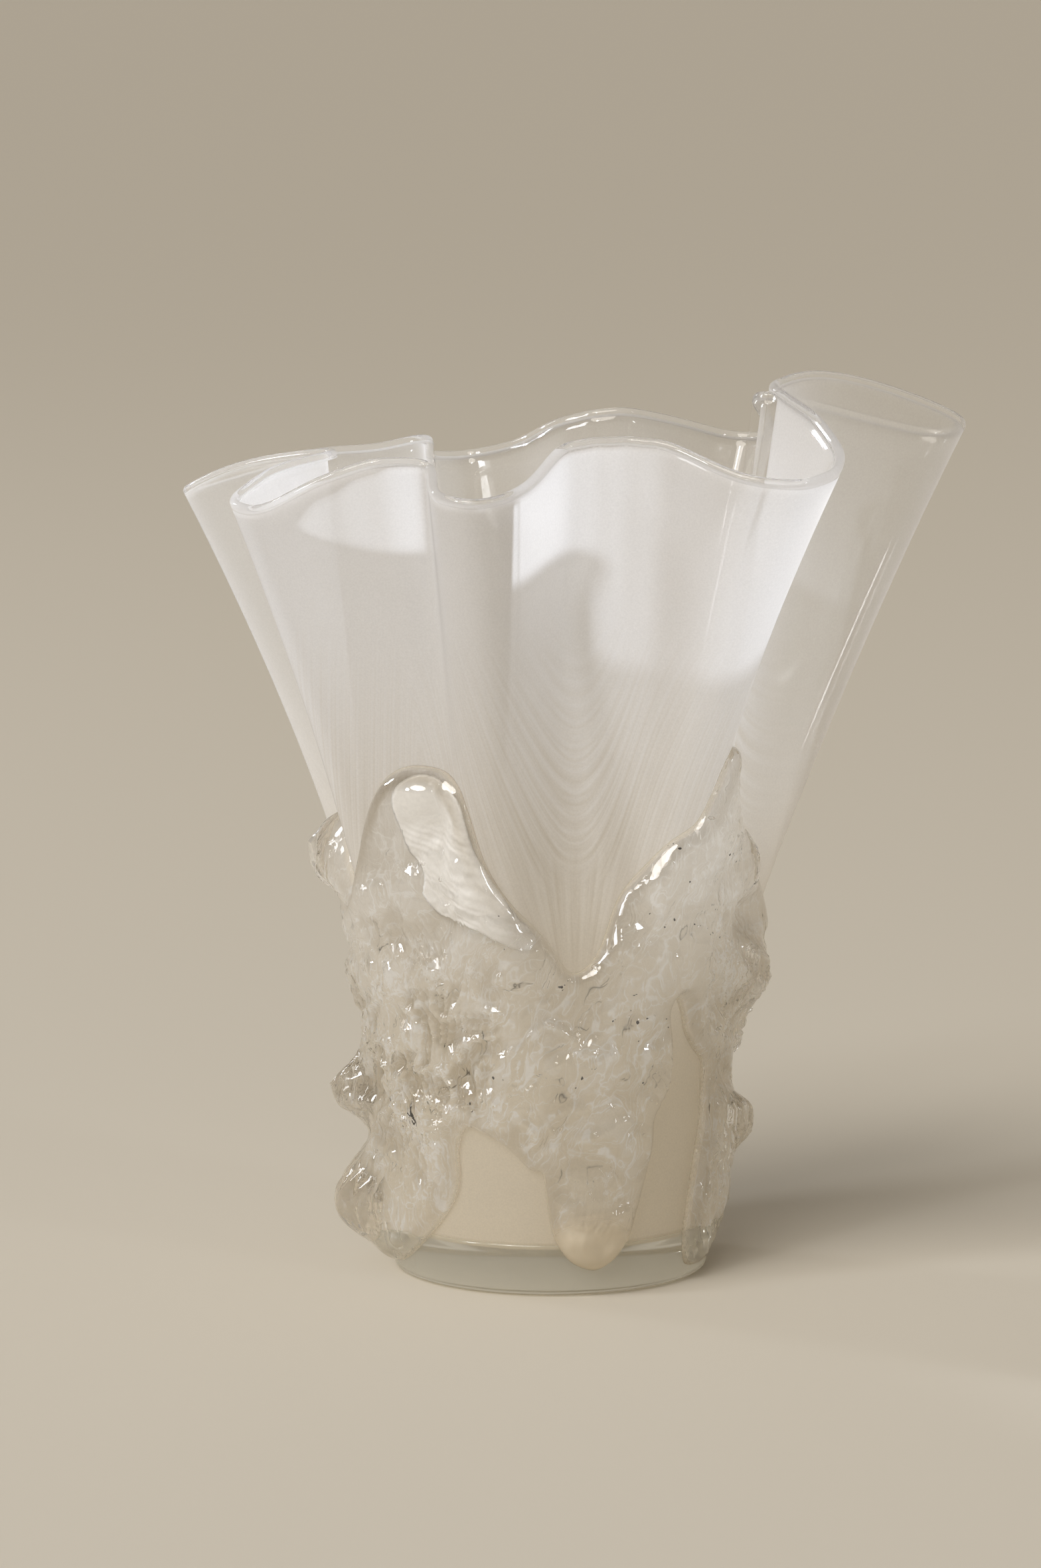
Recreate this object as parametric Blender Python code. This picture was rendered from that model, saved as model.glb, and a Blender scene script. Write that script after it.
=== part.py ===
"""Hand-blown folded vase: an opal glass vessel with a wavy rim, a thick clear foot and a clear glass collar.

The origin is the centre of the foot's underside and +Z is up. The viewer of the front stands at -Y.
"""
import math

import bmesh
import bpy
import numpy as np
from mathutils import Vector, noise
from mathutils.geometry import delaunay_2d_cdt

# Driving dimensions: metres, and degrees round the vertical axis, 0 at +X and -90 at the front
FOOT_RADIUS = 0.056
FOOT_EDGE = 0.0025
FOOT_DEPTH = 0.0165
SEAT_ROUNDING = 0.008
SEAT_LIP = 0.0012
WALL_AT_RIM = 0.0034
WALL_AT_FOOT = 0.0050
FLOOR = 0.0050
FLOOR_ROUNDING = 0.014
RIM_HEIGHT = 0.300
BODY_TAPER = 0.010
RIM_FLARE = 0.038
FOLD_START = 0.058
COLLAR_THICKNESS = 0.0062
COLLAR_EDGE = 0.0022
COLLAR_ROUNDING = 0.0070
SEAT_CLEARANCE = 0.00035
COLLAR_CLEARANCE = 0.00050

# How the flare and the folds grow from FOLD_START up to the rim
FLARE_POWER = 1.5
FOLD_POWER = 1.10
FOLD_POWER_PER_WAVE = 0.060
FOLD_WAVES = 45

# The rim's folds: angle, reach past the mean rim, height past RIM_HEIGHT
RIM_FOLDS = [
    (-176.5, -0.0250, -0.0070), (-168.0, -0.0030, -0.0120), (-157.0, 0.0170, -0.0210),
    (-149.0, 0.0140, -0.0220), (-136.0, 0.0030, -0.0100), (-126.0, -0.0070, -0.0040),
    (-120.0, -0.0170, -0.0055), (-114.0, -0.0030, -0.0130), (-106.0, 0.0045, -0.0160),
    (-99.5, -0.0010, -0.0150), (-93.0, -0.0210, -0.0095), (-85.0, -0.0365, 0.0000),
    (-70.0, -0.0375, 0.0020), (-59.0, -0.0280, 0.0005), (-52.0, -0.0020, -0.0085),
    (-45.0, 0.0130, -0.0115), (-37.0, 0.0170, -0.0095), (-28.0, 0.0110, -0.0040),
    (-18.0, -0.0050, 0.0070), (-10.0, -0.0175, 0.0130), (-2.0, -0.0235, 0.0170),
    (5.0, -0.0070, 0.0200), (10.0, 0.0275, 0.0110), (15.5, 0.0525, -0.0010),
    (21.0, 0.0440, -0.0040), (27.0, 0.0080, 0.0050), (33.0, -0.0120, 0.0095),
    (40.0, 0.0020, -0.0010), (48.5, 0.0170, -0.0085), (55.5, 0.0130, -0.0085),
    (61.0, -0.0060, -0.0030), (71.0, -0.0270, 0.0020), (86.0, -0.0240, -0.0020), (97.0, -0.0040, -0.0120),
    (106.0, 0.0100, -0.0170), (115.0, 0.0040, -0.0160), (126.0, -0.0220, -0.0075),
    (137.0, -0.0170, -0.0100), (147.0, -0.0010, -0.0120), (158.0, 0.0260, -0.0210),
    (166.0, 0.0330, -0.0240), (172.0, 0.0110, -0.0140), (178.0, -0.0160, -0.0080),
]

# Sides that bow outwards or inwards halfway up: angle, bow, spread in degrees
SIDE_BOWS = [(-46.0, -0.0060, 9.0), (-29.0, -0.0110, 12.0), (-10.0, -0.0050, 9.0), (14.0, 0.0060, 11.0)]

# The collar's ragged edges: angle, height. Both run once round the vessel from the back of its left side.
COLLAR_TOP = [
    (-177.0, 0.167), (-170.0, 0.153), (-164.0, 0.136), (-157.0, 0.139), (-150.0, 0.152), (-144.0, 0.168),
    (-138.6, 0.1800), (-133.0, 0.1865), (-127.6, 0.1885), (-120.7, 0.1867), (-115.0, 0.1815), (-112.5, 0.174),
    (-107.9, 0.1546), (-101.9, 0.1417), (-91.7, 0.128), (-85.0, 0.1173), (-81.8, 0.1154), (-77.0, 0.118),
    (-73.0, 0.124), (-66.4, 0.142), (-58.0, 0.153), (-51.8, 0.1607), (-44.0, 0.167), (-40.5, 0.177),
    (-37.5, 0.1885), (-34.0, 0.1928), (-29.0, 0.188), (-23.5, 0.180), (-14.0, 0.170), (-4.0, 0.160),
    (6.0, 0.143), (16.0, 0.124), (27.0, 0.116), (38.0, 0.128), (50.0, 0.152), (62.0, 0.171), (72.0, 0.177),
    (82.0, 0.168), (92.0, 0.146), (103.0, 0.124), (113.0, 0.113), (122.0, 0.121), (131.0, 0.141),
    (139.0, 0.154), (146.0, 0.150), (154.0, 0.135), (161.0, 0.133), (168.0, 0.149), (175.0, 0.164),
]
COLLAR_BOTTOM = [
    (-178.0, 0.016), (-172.0, 0.009), (-165.7, 0.005), (-158.0, 0.0055), (-150.3, 0.009), (-141.2, 0.0154),
    (-130.6, 0.0257), (-124.6, 0.0347), (-123.0, 0.0432), (-123.4, 0.0507), (-119.9, 0.0595),
    (-112.5, 0.0576), (-106.3, 0.0543), (-102.0, 0.0508), (-96.4, 0.0456), (-93.0, 0.0450), (-91.6, 0.036),
    (-89.2, 0.0228), (-84.2, 0.014), (-79.0, 0.0105), (-73.7, 0.0095), (-68.0, 0.0125), (-62.3, 0.0198),
    (-57.2, 0.0362), (-53.4, 0.0520), (-52.6, 0.0630), (-48.5, 0.0707), (-45.4, 0.0800), (-45.0, 0.0910),
    (-46.4, 0.1000), (-43.4, 0.1045), (-39.4, 0.0985), (-35.9, 0.0904), (-29.0, 0.0835), (-23.2, 0.0780),
    (-24.3, 0.0617), (-29.0, 0.0444), (-32.6, 0.0297), (-34.6, 0.0170), (-33.0, 0.0070), (-28.0, 0.0052),
    (-18.2, 0.0080), (-8.0, 0.013), (2.0, 0.016), (12.0, 0.020), (20.0, 0.032), (26.0, 0.050), (36.0, 0.058),
    (48.0, 0.052), (58.0, 0.034), (66.0, 0.016), (74.0, 0.008), (84.0, 0.009), (92.0, 0.022), (97.0, 0.042),
    (104.0, 0.056), (114.0, 0.062), (124.0, 0.050), (131.0, 0.030), (138.0, 0.012), (147.0, 0.006),
    (157.0, 0.010), (164.0, 0.022), (170.0, 0.024), (176.0, 0.020),
]

# Thick places of the collar: angle, height, extra thickness, spread
COLLAR_LUMPS = [
    (-168.0, 0.027, 0.0160, 0.018), (-174.0, 0.066, 0.0140, 0.012), (-178.0, 0.104, 0.0050, 0.014),
    (-179.0, 0.151, 0.0130, 0.017), (-152.0, 0.052, 0.0040, 0.013), (-128.0, 0.178, 0.0030, 0.010),
    (-118.0, 0.112, 0.0020, 0.018), (-76.0, 0.026, 0.0020, 0.012), (-52.0, 0.120, 0.0020, 0.016),
    (-6.0, 0.148, 0.0095, 0.015), (-2.0, 0.109, 0.0125, 0.015), (-5.0, 0.054, 0.0070, 0.011),
    (46.0, 0.100, 0.0050, 0.018), (74.0, 0.030, 0.0070, 0.016), (84.0, 0.140, 0.0040, 0.016),
    (112.0, 0.086, 0.0040, 0.016), (150.0, 0.030, 0.0080, 0.018), (152.0, 0.100, 0.0050, 0.018),
]
RIPPLES = [(0.0200, 0.0016), (0.0085, 0.0007)]

# Fineness of the solids
VESSEL_COLUMNS = 144
OUTER_ROWS = 10
INNER_ROWS = 7
ROW_CROWDING = 0.9
LIP_TURNS = (45, 135)
ARC_STEPS = 2
DISH_STEPS = 4
FOOT_COLUMNS = 48
COLLAR_GRID = 0.0084
OUTLINE_STEP = 0.0066
EDGE_MARGIN = 0.55
SPLINE_STEPS = 24
RIM_SAMPLES = 8000

# Height of a row of equilateral triangles whose sides are 1
TRIANGLE_ROW = math.sqrt(0.75)


def closed_spline(points, per_span):
    """Centripetal Catmull-Rom curve through a closed list of points, with per_span points for each."""
    points = np.asarray(points, float)
    count = len(points)
    curve = []
    for i in range(count):
        p0, p1, p2, p3 = (points[(i + k) % count] for k in (-1, 0, 1, 2))
        t1 = np.linalg.norm(p1 - p0) ** 0.5
        t2 = t1 + np.linalg.norm(p2 - p1) ** 0.5
        t3 = t2 + np.linalg.norm(p3 - p2) ** 0.5
        for t in np.linspace(t1, t2, per_span, endpoint=False):
            a1 = ((t1 - t) * p0 + t * p1) / t1
            a2 = ((t2 - t) * p1 + (t - t1) * p2) / (t2 - t1)
            a3 = ((t3 - t) * p2 + (t - t2) * p3) / (t3 - t2)
            b1 = ((t2 - t) * a1 + t * a2) / t2
            b2 = ((t3 - t) * a2 + (t - t1) * a3) / (t3 - t1)
            curve.append(((t2 - t) * b1 + (t - t1) * b2) / (t2 - t1))
    return np.array(curve)


def mean_rim_radius():
    """Radius of the rim with its folds ironed out."""
    return FOOT_RADIUS + BODY_TAPER + RIM_FLARE


def rim_spectrum(samples=1024):
    """The rim's reach and height as waves round the axis, so that fine folds can fade before broad ones."""
    angles, reach, height = np.array(RIM_FOLDS).T
    angles = np.radians(angles)
    radius = mean_rim_radius() + reach
    corners = np.stack([radius * np.cos(angles), radius * np.sin(angles), RIM_HEIGHT + height], -1)
    curve = closed_spline(corners, SPLINE_STEPS)
    turn = np.unwrap(np.arctan2(curve[:, 1], curve[:, 0]))
    even = np.arange(samples) * 2 * math.pi / samples
    return [np.fft.rfft(np.interp(even, turn, values, period=2 * math.pi))[:FOLD_WAVES] / samples
            for values in (np.hypot(curve[:, 0], curve[:, 1]), curve[:, 2])]


REACH_WAVES, HEIGHT_WAVES = rim_spectrum()


def waves_at(spectrum, theta, weight=1.0):
    """Value of a spectrum at the angles theta, each wave scaled by its weight."""
    order = np.arange(FOLD_WAVES)
    turns = np.exp(1j * order * theta[..., None])
    doubled = np.where(order == 0, 1.0, 2.0)
    return (doubled * weight * spectrum * turns).real.sum(-1)


def height_of(theta, level):
    """Height of the skin at a level: the same up to FOLD_START, then stretched so that RIM_HEIGHT is the rim."""
    rim = waves_at(HEIGHT_WAVES, theta)
    above = (level - FOLD_START) / (RIM_HEIGHT - FOLD_START)
    return np.where(above > 0, FOLD_START + above * (rim - FOLD_START), level)


def level_of(theta, height):
    """The level whose skin lies at a height."""
    rim = waves_at(HEIGHT_WAVES, theta)
    above = (height - FOLD_START) / (rim - FOLD_START)
    return np.where(above > 0, FOLD_START + above * (RIM_HEIGHT - FOLD_START), height)


def skin(theta, level):
    """Outer surface of the blown body, as points, for arrays of angles and levels."""
    theta, level = np.broadcast_arrays(np.asarray(theta, float), np.asarray(level, float))
    grown = np.clip((level - FOLD_START) / (RIM_HEIGHT - FOLD_START), 0.0, None)
    radius = FOOT_RADIUS + BODY_TAPER * level / RIM_HEIGHT + RIM_FLARE * grown ** FLARE_POWER
    order = np.arange(FOLD_WAVES)
    fade = np.where(order == 0, 0.0, grown[..., None] ** (FOLD_POWER + FOLD_POWER_PER_WAVE * order))
    radius = radius + waves_at(REACH_WAVES, theta, fade)
    radius = radius + (REACH_WAVES[0].real - mean_rim_radius()) * grown ** FOLD_POWER
    for angle, bow, spread in SIDE_BOWS:
        off = (theta - math.radians(angle) + math.pi) % (2 * math.pi) - math.pi
        beside = np.exp(-(off / math.radians(spread)) ** 2)
        radius = radius + bow * np.sin(math.pi * np.clip(grown, 0, 1)) * beside
    return np.stack([radius * np.cos(theta), radius * np.sin(theta), height_of(theta, level)], -1)


def skin_frame(theta, level):
    """Point, outward normal and upward tangent of the skin."""
    theta, level = np.broadcast_arrays(np.asarray(theta, float), np.asarray(level, float))
    turn, lift = 2e-4, 1e-5
    along = skin(theta + turn, level) - skin(theta - turn, level)
    up = skin(theta, level + lift) - skin(theta, level - lift)
    up /= np.linalg.norm(up, axis=-1, keepdims=True)
    normal = np.cross(along, up)
    normal /= np.linalg.norm(normal, axis=-1, keepdims=True)
    return skin(theta, level), normal, up


def rim_columns(count):
    """Angles of the vessel's columns, spaced evenly along the folded rim."""
    theta = np.linspace(0, 2 * math.pi, RIM_SAMPLES + 1)
    rim = skin(theta, RIM_HEIGHT)
    run = np.concatenate([[0], np.cumsum(np.linalg.norm(np.diff(rim, axis=0), axis=1))])
    return np.interp(np.arange(count) * run[-1] / count, run, theta)


def new_object(name, mesh, color, roughness, transmission):
    """Adds an object with its own Principled material."""
    material = bpy.data.materials.new(name)
    material.use_nodes = True
    shader = material.node_tree.nodes["Principled BSDF"]
    shader.inputs["Base Color"].default_value = (*color, 1.0)
    shader.inputs["Roughness"].default_value = roughness
    shader.inputs["Metallic"].default_value = 0.0
    shader.inputs["Transmission Weight"].default_value = transmission
    mesh.materials.append(material)
    mesh.shade_smooth()
    mesh.set_sharp_from_angle(angle=math.radians(50))
    made = bpy.data.objects.new(name, mesh)
    bpy.context.scene.collection.objects.link(made)
    return made


def ring_mesh(name, rings, first_pole, last_pole):
    """Closed mesh from rings of points, each bridged to the next, with a fan on a pole at both ends."""
    mesh = bmesh.new()
    loops = [[mesh.verts.new(point) for point in ring] for ring in rings]
    for lower, upper in zip(loops, loops[1:]):
        for i, start in enumerate(lower):
            j = (i + 1) % len(lower)
            mesh.faces.new((start, lower[j], upper[j], upper[i]))
    for loop, pole, outward in ((loops[0], first_pole, -1), (loops[-1], last_pole, 1)):
        centre = mesh.verts.new(pole)
        for i, start in enumerate(loop):
            corner = (start, loop[(i + 1) % len(loop)], centre)
            mesh.faces.new(corner[::outward])
    bmesh.ops.recalc_face_normals(mesh, faces=mesh.faces[:])
    made = bpy.data.meshes.new(name)
    mesh.to_mesh(made)
    mesh.free()
    return made


def quarter_arc(radius, height, rounding, steps):
    """Points of a rounded lower corner, from the flat below to the wall: radius and height pairs."""
    centre = (radius - rounding, height + rounding)
    turns = np.linspace(0, math.pi / 2, steps + 1)
    return [(centre[0] + rounding * math.sin(a), centre[1] - rounding * math.cos(a)) for a in turns]


def circle(radius, height, angles):
    """Ring of points at one radius and height."""
    return np.stack([radius * np.cos(angles), radius * np.sin(angles), np.full(len(angles), height)], -1)


def skin_radius(height):
    """Radius of the plain round body below FOLD_START."""
    return float(np.hypot(*skin(0.0, height)[:2]))


def wall_at(level):
    """Thickness of the wall at a level."""
    share = level / RIM_HEIGHT
    return WALL_AT_FOOT + (WALL_AT_RIM - WALL_AT_FOOT) * share


def build_vessel():
    """Opal vessel: rounded bottom, flared and folded wall, rounded lip and a hollow down to the floor."""
    angles = rim_columns(VESSEL_COLUMNS)
    seat_radius = skin_radius(FOOT_DEPTH + SEAT_ROUNDING)
    bottom = quarter_arc(seat_radius, FOOT_DEPTH, SEAT_ROUNDING, ARC_STEPS)
    rings = [circle(r, z, angles) for r, z in bottom]
    top_level = RIM_HEIGHT - WALL_AT_RIM / 2
    for i in range(OUTER_ROWS + 1):
        level = FOLD_START + (top_level - FOLD_START) * (i / OUTER_ROWS) ** ROW_CROWDING
        rings.append(skin(angles, level))
    edge, normal, up = skin_frame(angles, top_level)
    for turn in LIP_TURNS:
        swing = math.radians(turn)
        rings.append(edge + WALL_AT_RIM / 2 * (normal * (math.cos(swing) - 1) + up * math.sin(swing)))
    inner_base = FOOT_DEPTH + FLOOR
    first = inner_base + FLOOR_ROUNDING
    for i in range(INNER_ROWS + 1):
        level = top_level + (first - top_level) * i / INNER_ROWS
        point, normal, up = skin_frame(angles, level)
        rings.append(point - normal * wall_at(level))
    inner_radius = skin_radius(first) - wall_at(first)
    corner = quarter_arc(inner_radius, inner_base, FLOOR_ROUNDING, ARC_STEPS)[:-1]
    rings += [circle(r, z, angles) for r, z in reversed(corner)]
    mesh = ring_mesh("opal_vessel", rings, (0, 0, FOOT_DEPTH), (0, 0, inner_base))
    return new_object("opal_vessel", mesh, (0.80, 0.76, 0.70), 0.06, 0.15)


def build_foot():
    """Clear foot: a thick disc with a soft lower edge and a dish that the opal bottom sits in."""
    angles = np.arange(FOOT_COLUMNS) * 2 * math.pi / FOOT_COLUMNS
    seat_radius = skin_radius(FOOT_DEPTH + SEAT_ROUNDING)
    dish = quarter_arc(seat_radius, FOOT_DEPTH, SEAT_ROUNDING, DISH_STEPS)
    centre = np.array((seat_radius - SEAT_ROUNDING, FOOT_DEPTH + SEAT_ROUNDING))
    grow = (SEAT_ROUNDING + SEAT_CLEARANCE) / SEAT_ROUNDING
    dish = [tuple(centre + (np.array(corner) - centre) * grow) for corner in dish]
    dish = [(r, z) for r, z in dish if r < skin_radius(z) - SEAT_LIP]
    rim_height = dish[-1][1]
    outer = quarter_arc(skin_radius(FOOT_EDGE), 0.0, FOOT_EDGE, ARC_STEPS)
    rings = [circle(r, z, angles) for r, z in outer]
    rings += [circle(skin_radius(z), z, angles) for z in (rim_height / 2, rim_height)]
    rings += [circle(r, z, angles) for r, z in reversed(dish)]
    mesh = ring_mesh("clear_foot", rings, (0, 0, 0), (0, 0, FOOT_DEPTH - SEAT_CLEARANCE))
    return new_object("clear_foot", mesh, (0.90, 0.92, 0.90), 0.02, 1.0)


def map_radius():
    """Radius at which the collar's flat map lays out the angles."""
    return FOOT_RADIUS + BODY_TAPER


def unrolled(points):
    """Flat map of angle and height, in metres."""
    points = np.asarray(points, float)
    return np.stack([np.radians(points[:, 0]) * map_radius(), points[:, 1]], -1)


def edge_line(points, step):
    """One ragged collar edge on the flat map, from angle -180 to 180, in even steps."""
    flat = unrolled(points)
    turn = 2 * math.pi * map_radius()
    wide = np.concatenate([flat - (turn, 0), flat, flat + (turn, 0)])
    curve = closed_spline(wide, SPLINE_STEPS)[:-SPLINE_STEPS]
    seam_height = np.interp(turn / 2, curve[:, 0], curve[:, 1])
    inside = curve[(curve[:, 0] > -turn / 2) & (curve[:, 0] < turn / 2)]
    inside = np.concatenate([[(-turn / 2, seam_height)], inside, [(turn / 2, seam_height)]])
    run = np.concatenate([[0], np.cumsum(np.linalg.norm(np.diff(inside, axis=0), axis=1))])
    even = np.linspace(0, run[-1], int(run[-1] / step) + 1)
    return np.stack([np.interp(even, run, inside[:, 0]), np.interp(even, run, inside[:, 1])], -1)


def distance_to_lines(points, lines):
    """Distance on the flat map from each point to the nearest of some lines that repeat round the vessel."""
    turn = 2 * math.pi * map_radius()
    nearest = np.full(len(points), np.inf)
    for line in lines:
        for shift in (-turn, 0, turn):
            start, end = line[:-1] + (shift, 0), line[1:] + (shift, 0)
            span = end - start
            offset = points[:, None] - start
            share = np.clip((offset * span).sum(-1) / (span ** 2).sum(-1), 0, 1)
            gaps = np.linalg.norm(offset - share[..., None] * span, axis=-1)
            nearest = np.minimum(nearest, gaps.min(1))
    return nearest


def collar_sheet(step, outline_step):
    """Triangles of the collar's flat map: points and corner indices, with the seam's two sides matching."""
    bottom, top = (edge_line(points, outline_step) for points in (COLLAR_BOTTOM, COLLAR_TOP))
    seam_steps = max(2, int((top[0, 1] - bottom[0, 1]) / outline_step))
    seam = np.linspace(bottom[0, 1], top[0, 1], seam_steps + 1)[1:-1]
    right = [(top[-1, 0], z) for z in seam]
    left = [(top[0, 0], z) for z in seam[::-1]]
    outline = [*map(tuple, bottom), *right, *map(tuple, top[::-1]), *left]
    low, high = np.min(outline, 0), np.max(outline, 0)
    rows = int((high[1] - low[1]) / (step * TRIANGLE_ROW))
    columns = int((high[0] - low[0]) / step)
    grid = np.array([((c + 0.5 * (r % 2) + 0.25) / columns * (high[0] - low[0]) + low[0],
                      low[1] + (r + 0.5) * step * TRIANGLE_ROW) for r in range(rows) for c in range(columns)])
    clear = distance_to_lines(grid, [np.array([*outline, outline[0]])]) > EDGE_MARGIN * outline_step
    points = [Vector(p) for p in outline] + [Vector(p) for p in grid[clear]]
    loop = list(range(len(outline)))
    inside_only, weld = 1, 1e-7
    verts, _, faces, *_ = delaunay_2d_cdt(points, [], [loop], inside_only, weld)
    flat = np.array([tuple(v) for v in verts])
    return flat, np.array(faces), seam_owners(flat), [bottom, top]


def seam_owners(flat):
    """For each point of the flat map the point that stands for it: the seam's right side is its left side."""
    owners = np.arange(len(flat))
    seam = abs(flat[:, 0]).max() - 1e-6
    left, right = (np.flatnonzero(side * flat[:, 0] > seam) for side in (-1, 1))
    owners[right[np.argsort(flat[right, 1])]] = left[np.argsort(flat[left, 1])]
    return owners


def collar_thickness(flat, lines):
    """Thickness of the collar: rounded at its edges, with lumps and ripples between."""
    depth = np.clip(distance_to_lines(flat, lines) / COLLAR_ROUNDING, 0, 1)
    dome = np.sqrt(1 - (1 - depth) ** 2)
    scale = map_radius()
    body = np.full(len(flat), COLLAR_THICKNESS)
    for angle, height, extra, spread in COLLAR_LUMPS:
        off = (flat[:, 0] / scale - math.radians(angle) + math.pi) % (2 * math.pi) - math.pi
        body += extra * np.exp(-((off * scale) ** 2 + (flat[:, 1] - height) ** 2) / spread ** 2)
    for i, (x, z) in enumerate(flat):
        spot = Vector((scale * math.cos(x / scale), scale * math.sin(x / scale), z))
        body[i] += sum(high * 2 * noise.noise(spot / size) for size, high in RIPPLES)
    return COLLAR_EDGE + (body - COLLAR_EDGE) * dome


def bridging_lift(theta, height, inner, corners, owners):
    """How far each inner corner moves out so that the flat facets between them clear the curved skin."""
    lift = np.zeros(len(inner))
    for share in ((0.5, 0.5, 0.0), (0.0, 0.5, 0.5), (0.5, 0.0, 0.5), (1 / 3, 1 / 3, 1 / 3)):
        share = np.array(share)
        middle = (inner[corners] * share[:, None]).sum(1)
        at_theta, at_height = (theta[corners] * share).sum(1), (height[corners] * share).sum(1)
        point, normal, _ = skin_frame(at_theta, level_of(at_theta, at_height))
        short = ((point + normal * COLLAR_CLEARANCE - middle) * normal).sum(-1)
        for corner in range(3):
            np.maximum.at(lift, owners[corners[:, corner]], short)
    return lift[owners]


def build_collar():
    """Clear collar: a ragged, lumpy band of hot glass laid round the lower body."""
    flat, corners, owners, lines = collar_sheet(COLLAR_GRID, OUTLINE_STEP)
    theta, height = flat[:, 0] / map_radius(), flat[:, 1]
    point, normal, _ = skin_frame(theta, level_of(theta, height))
    inner = point + normal * COLLAR_CLEARANCE
    inner = inner + normal * bridging_lift(theta, height, inner, corners, owners)[:, None]
    outer = inner + normal * collar_thickness(flat, lines)[:, None]
    mesh = bmesh.new()
    back, front = ({i: mesh.verts.new(side[i]) for i in np.unique(owners)} for side in (inner, outer))
    triangles = owners[corners].tolist()
    sides = {(a, b) for trio in triangles for a, b in zip(trio, trio[1:] + trio[:1])}
    for trio in triangles:
        mesh.faces.new([front[i] for i in trio])
        mesh.faces.new([back[i] for i in reversed(trio)])
    for a, b in sorted(sides):
        if (b, a) not in sides:
            mesh.faces.new((front[b], front[a], back[a], back[b]))
    bmesh.ops.recalc_face_normals(mesh, faces=mesh.faces[:])
    made = bpy.data.meshes.new("clear_collar")
    mesh.to_mesh(made)
    mesh.free()
    return new_object("clear_collar", made, (0.90, 0.90, 0.87), 0.03, 1.0)


def main():
    for old in list(bpy.data.objects):
        bpy.data.objects.remove(old)
    build_vessel()
    build_foot()
    build_collar()


main()
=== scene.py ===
"""Looks of the hand-blown folded vase: milky opal glass, a clear lip and foot, and a rough clear glass collar.

Everything is in metres in the frame of the solids: +Z is up and the viewer of the front stands at -Y.
"""

import math

import bmesh
import bpy
import numpy as np
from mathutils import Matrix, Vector, kdtree, noise
from mathutils.geometry import delaunay_2d_cdt


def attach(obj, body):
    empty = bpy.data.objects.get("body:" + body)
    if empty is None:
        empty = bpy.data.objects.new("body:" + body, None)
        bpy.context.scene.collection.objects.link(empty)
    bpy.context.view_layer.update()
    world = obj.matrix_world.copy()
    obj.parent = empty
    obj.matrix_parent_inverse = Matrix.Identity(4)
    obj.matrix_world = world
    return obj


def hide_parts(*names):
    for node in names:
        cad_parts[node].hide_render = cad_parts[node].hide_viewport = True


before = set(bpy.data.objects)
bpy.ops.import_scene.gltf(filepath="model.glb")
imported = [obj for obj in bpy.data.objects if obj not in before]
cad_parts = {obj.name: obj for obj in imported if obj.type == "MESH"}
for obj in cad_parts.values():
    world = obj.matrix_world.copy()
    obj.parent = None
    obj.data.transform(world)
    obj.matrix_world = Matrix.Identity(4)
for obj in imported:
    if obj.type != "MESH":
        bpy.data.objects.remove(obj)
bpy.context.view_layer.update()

# The noise that bends the wrinkles takes its offsets from this seed
NOISE_SEED = 7
noise.seed_set(NOISE_SEED)

# The photograph and its camera, fitted to the foot's ellipse and the rim
IMAGE_HEIGHT_PX = 2361
FOCAL_PX = 8750
CENTRE_COLUMN_PX = 784
AXIS_COLUMN_PX = 830
CAMERA_DISTANCE = 2.046
CAMERA_SLOPE = math.radians(12.7)
CAMERA_PITCH = math.radians(8.0)
SENSOR = 36.0

# The blown body: the same values as the solids, with a tighter lower edge on the opal
FOOT_RADIUS = 0.056
FOOT_EDGE = 0.0025
FOOT_DEPTH = 0.0165
SEAT_ROUNDING = 0.003
WALL_AT_RIM = 0.0034
WALL_AT_FOOT = 0.0050
FLOOR = 0.0050
FLOOR_ROUNDING = 0.014
RIM_HEIGHT = 0.300
BODY_TAPER = 0.010
RIM_FLARE = 0.038
# Radius of the rim with its folds ironed out, and the one at which the collar's flat map lays out the angles
MEAN_RIM_RADIUS = FOOT_RADIUS + BODY_TAPER + RIM_FLARE
MAP_RADIUS = FOOT_RADIUS + BODY_TAPER
FOLD_START = 0.058
FLARE_POWER = 1.5
FOLD_POWER = 1.10
FOLD_POWER_PER_WAVE = 0.060
FOLD_WAVES = 45
SPLINE_STEPS = 24

# The rim's folds: angle in degrees, reach past the mean rim, height past RIM_HEIGHT
RIM_FOLDS = [
    (-176.5, -0.025, -0.007), (-168, -0.003, -0.012), (-157, 0.017, -0.021), (-149, 0.014, -0.022),
    (-136, 0.003, -0.01), (-126, -0.007, -0.004), (-120, -0.017, -0.0055), (-114, -0.003, -0.013),
    (-106, 0.0045, -0.016), (-99.5, -0.001, -0.015), (-93, -0.021, -0.0095), (-85, -0.0365, 0.0),
    (-70, -0.0375, 0.002), (-59, -0.028, 0.0005), (-52, -0.002, -0.0085), (-45, 0.013, -0.0115),
    (-37, 0.017, -0.0095), (-28, 0.011, -0.004), (-18, -0.005, 0.007), (-10, -0.0175, 0.013), (-2, -0.0235, 0.017),
    (5, -0.007, 0.02), (10, 0.0275, 0.011), (15.5, 0.0525, -0.001), (21, 0.044, -0.004), (27, 0.008, 0.005),
    (33, -0.012, 0.0095), (40, 0.002, -0.001), (48.5, 0.017, -0.0085), (55.5, 0.013, -0.0085), (61, -0.006, -0.003),
    (71, -0.027, 0.002), (86, -0.024, -0.002), (97, -0.004, -0.012), (106, 0.01, -0.017), (115, 0.004, -0.016),
    (126, -0.022, -0.0075), (137, -0.017, -0.01), (147, -0.001, -0.012), (158, 0.026, -0.021), (166, 0.033, -0.024),
    (172, 0.011, -0.014), (178, -0.016, -0.008),
]
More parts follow.
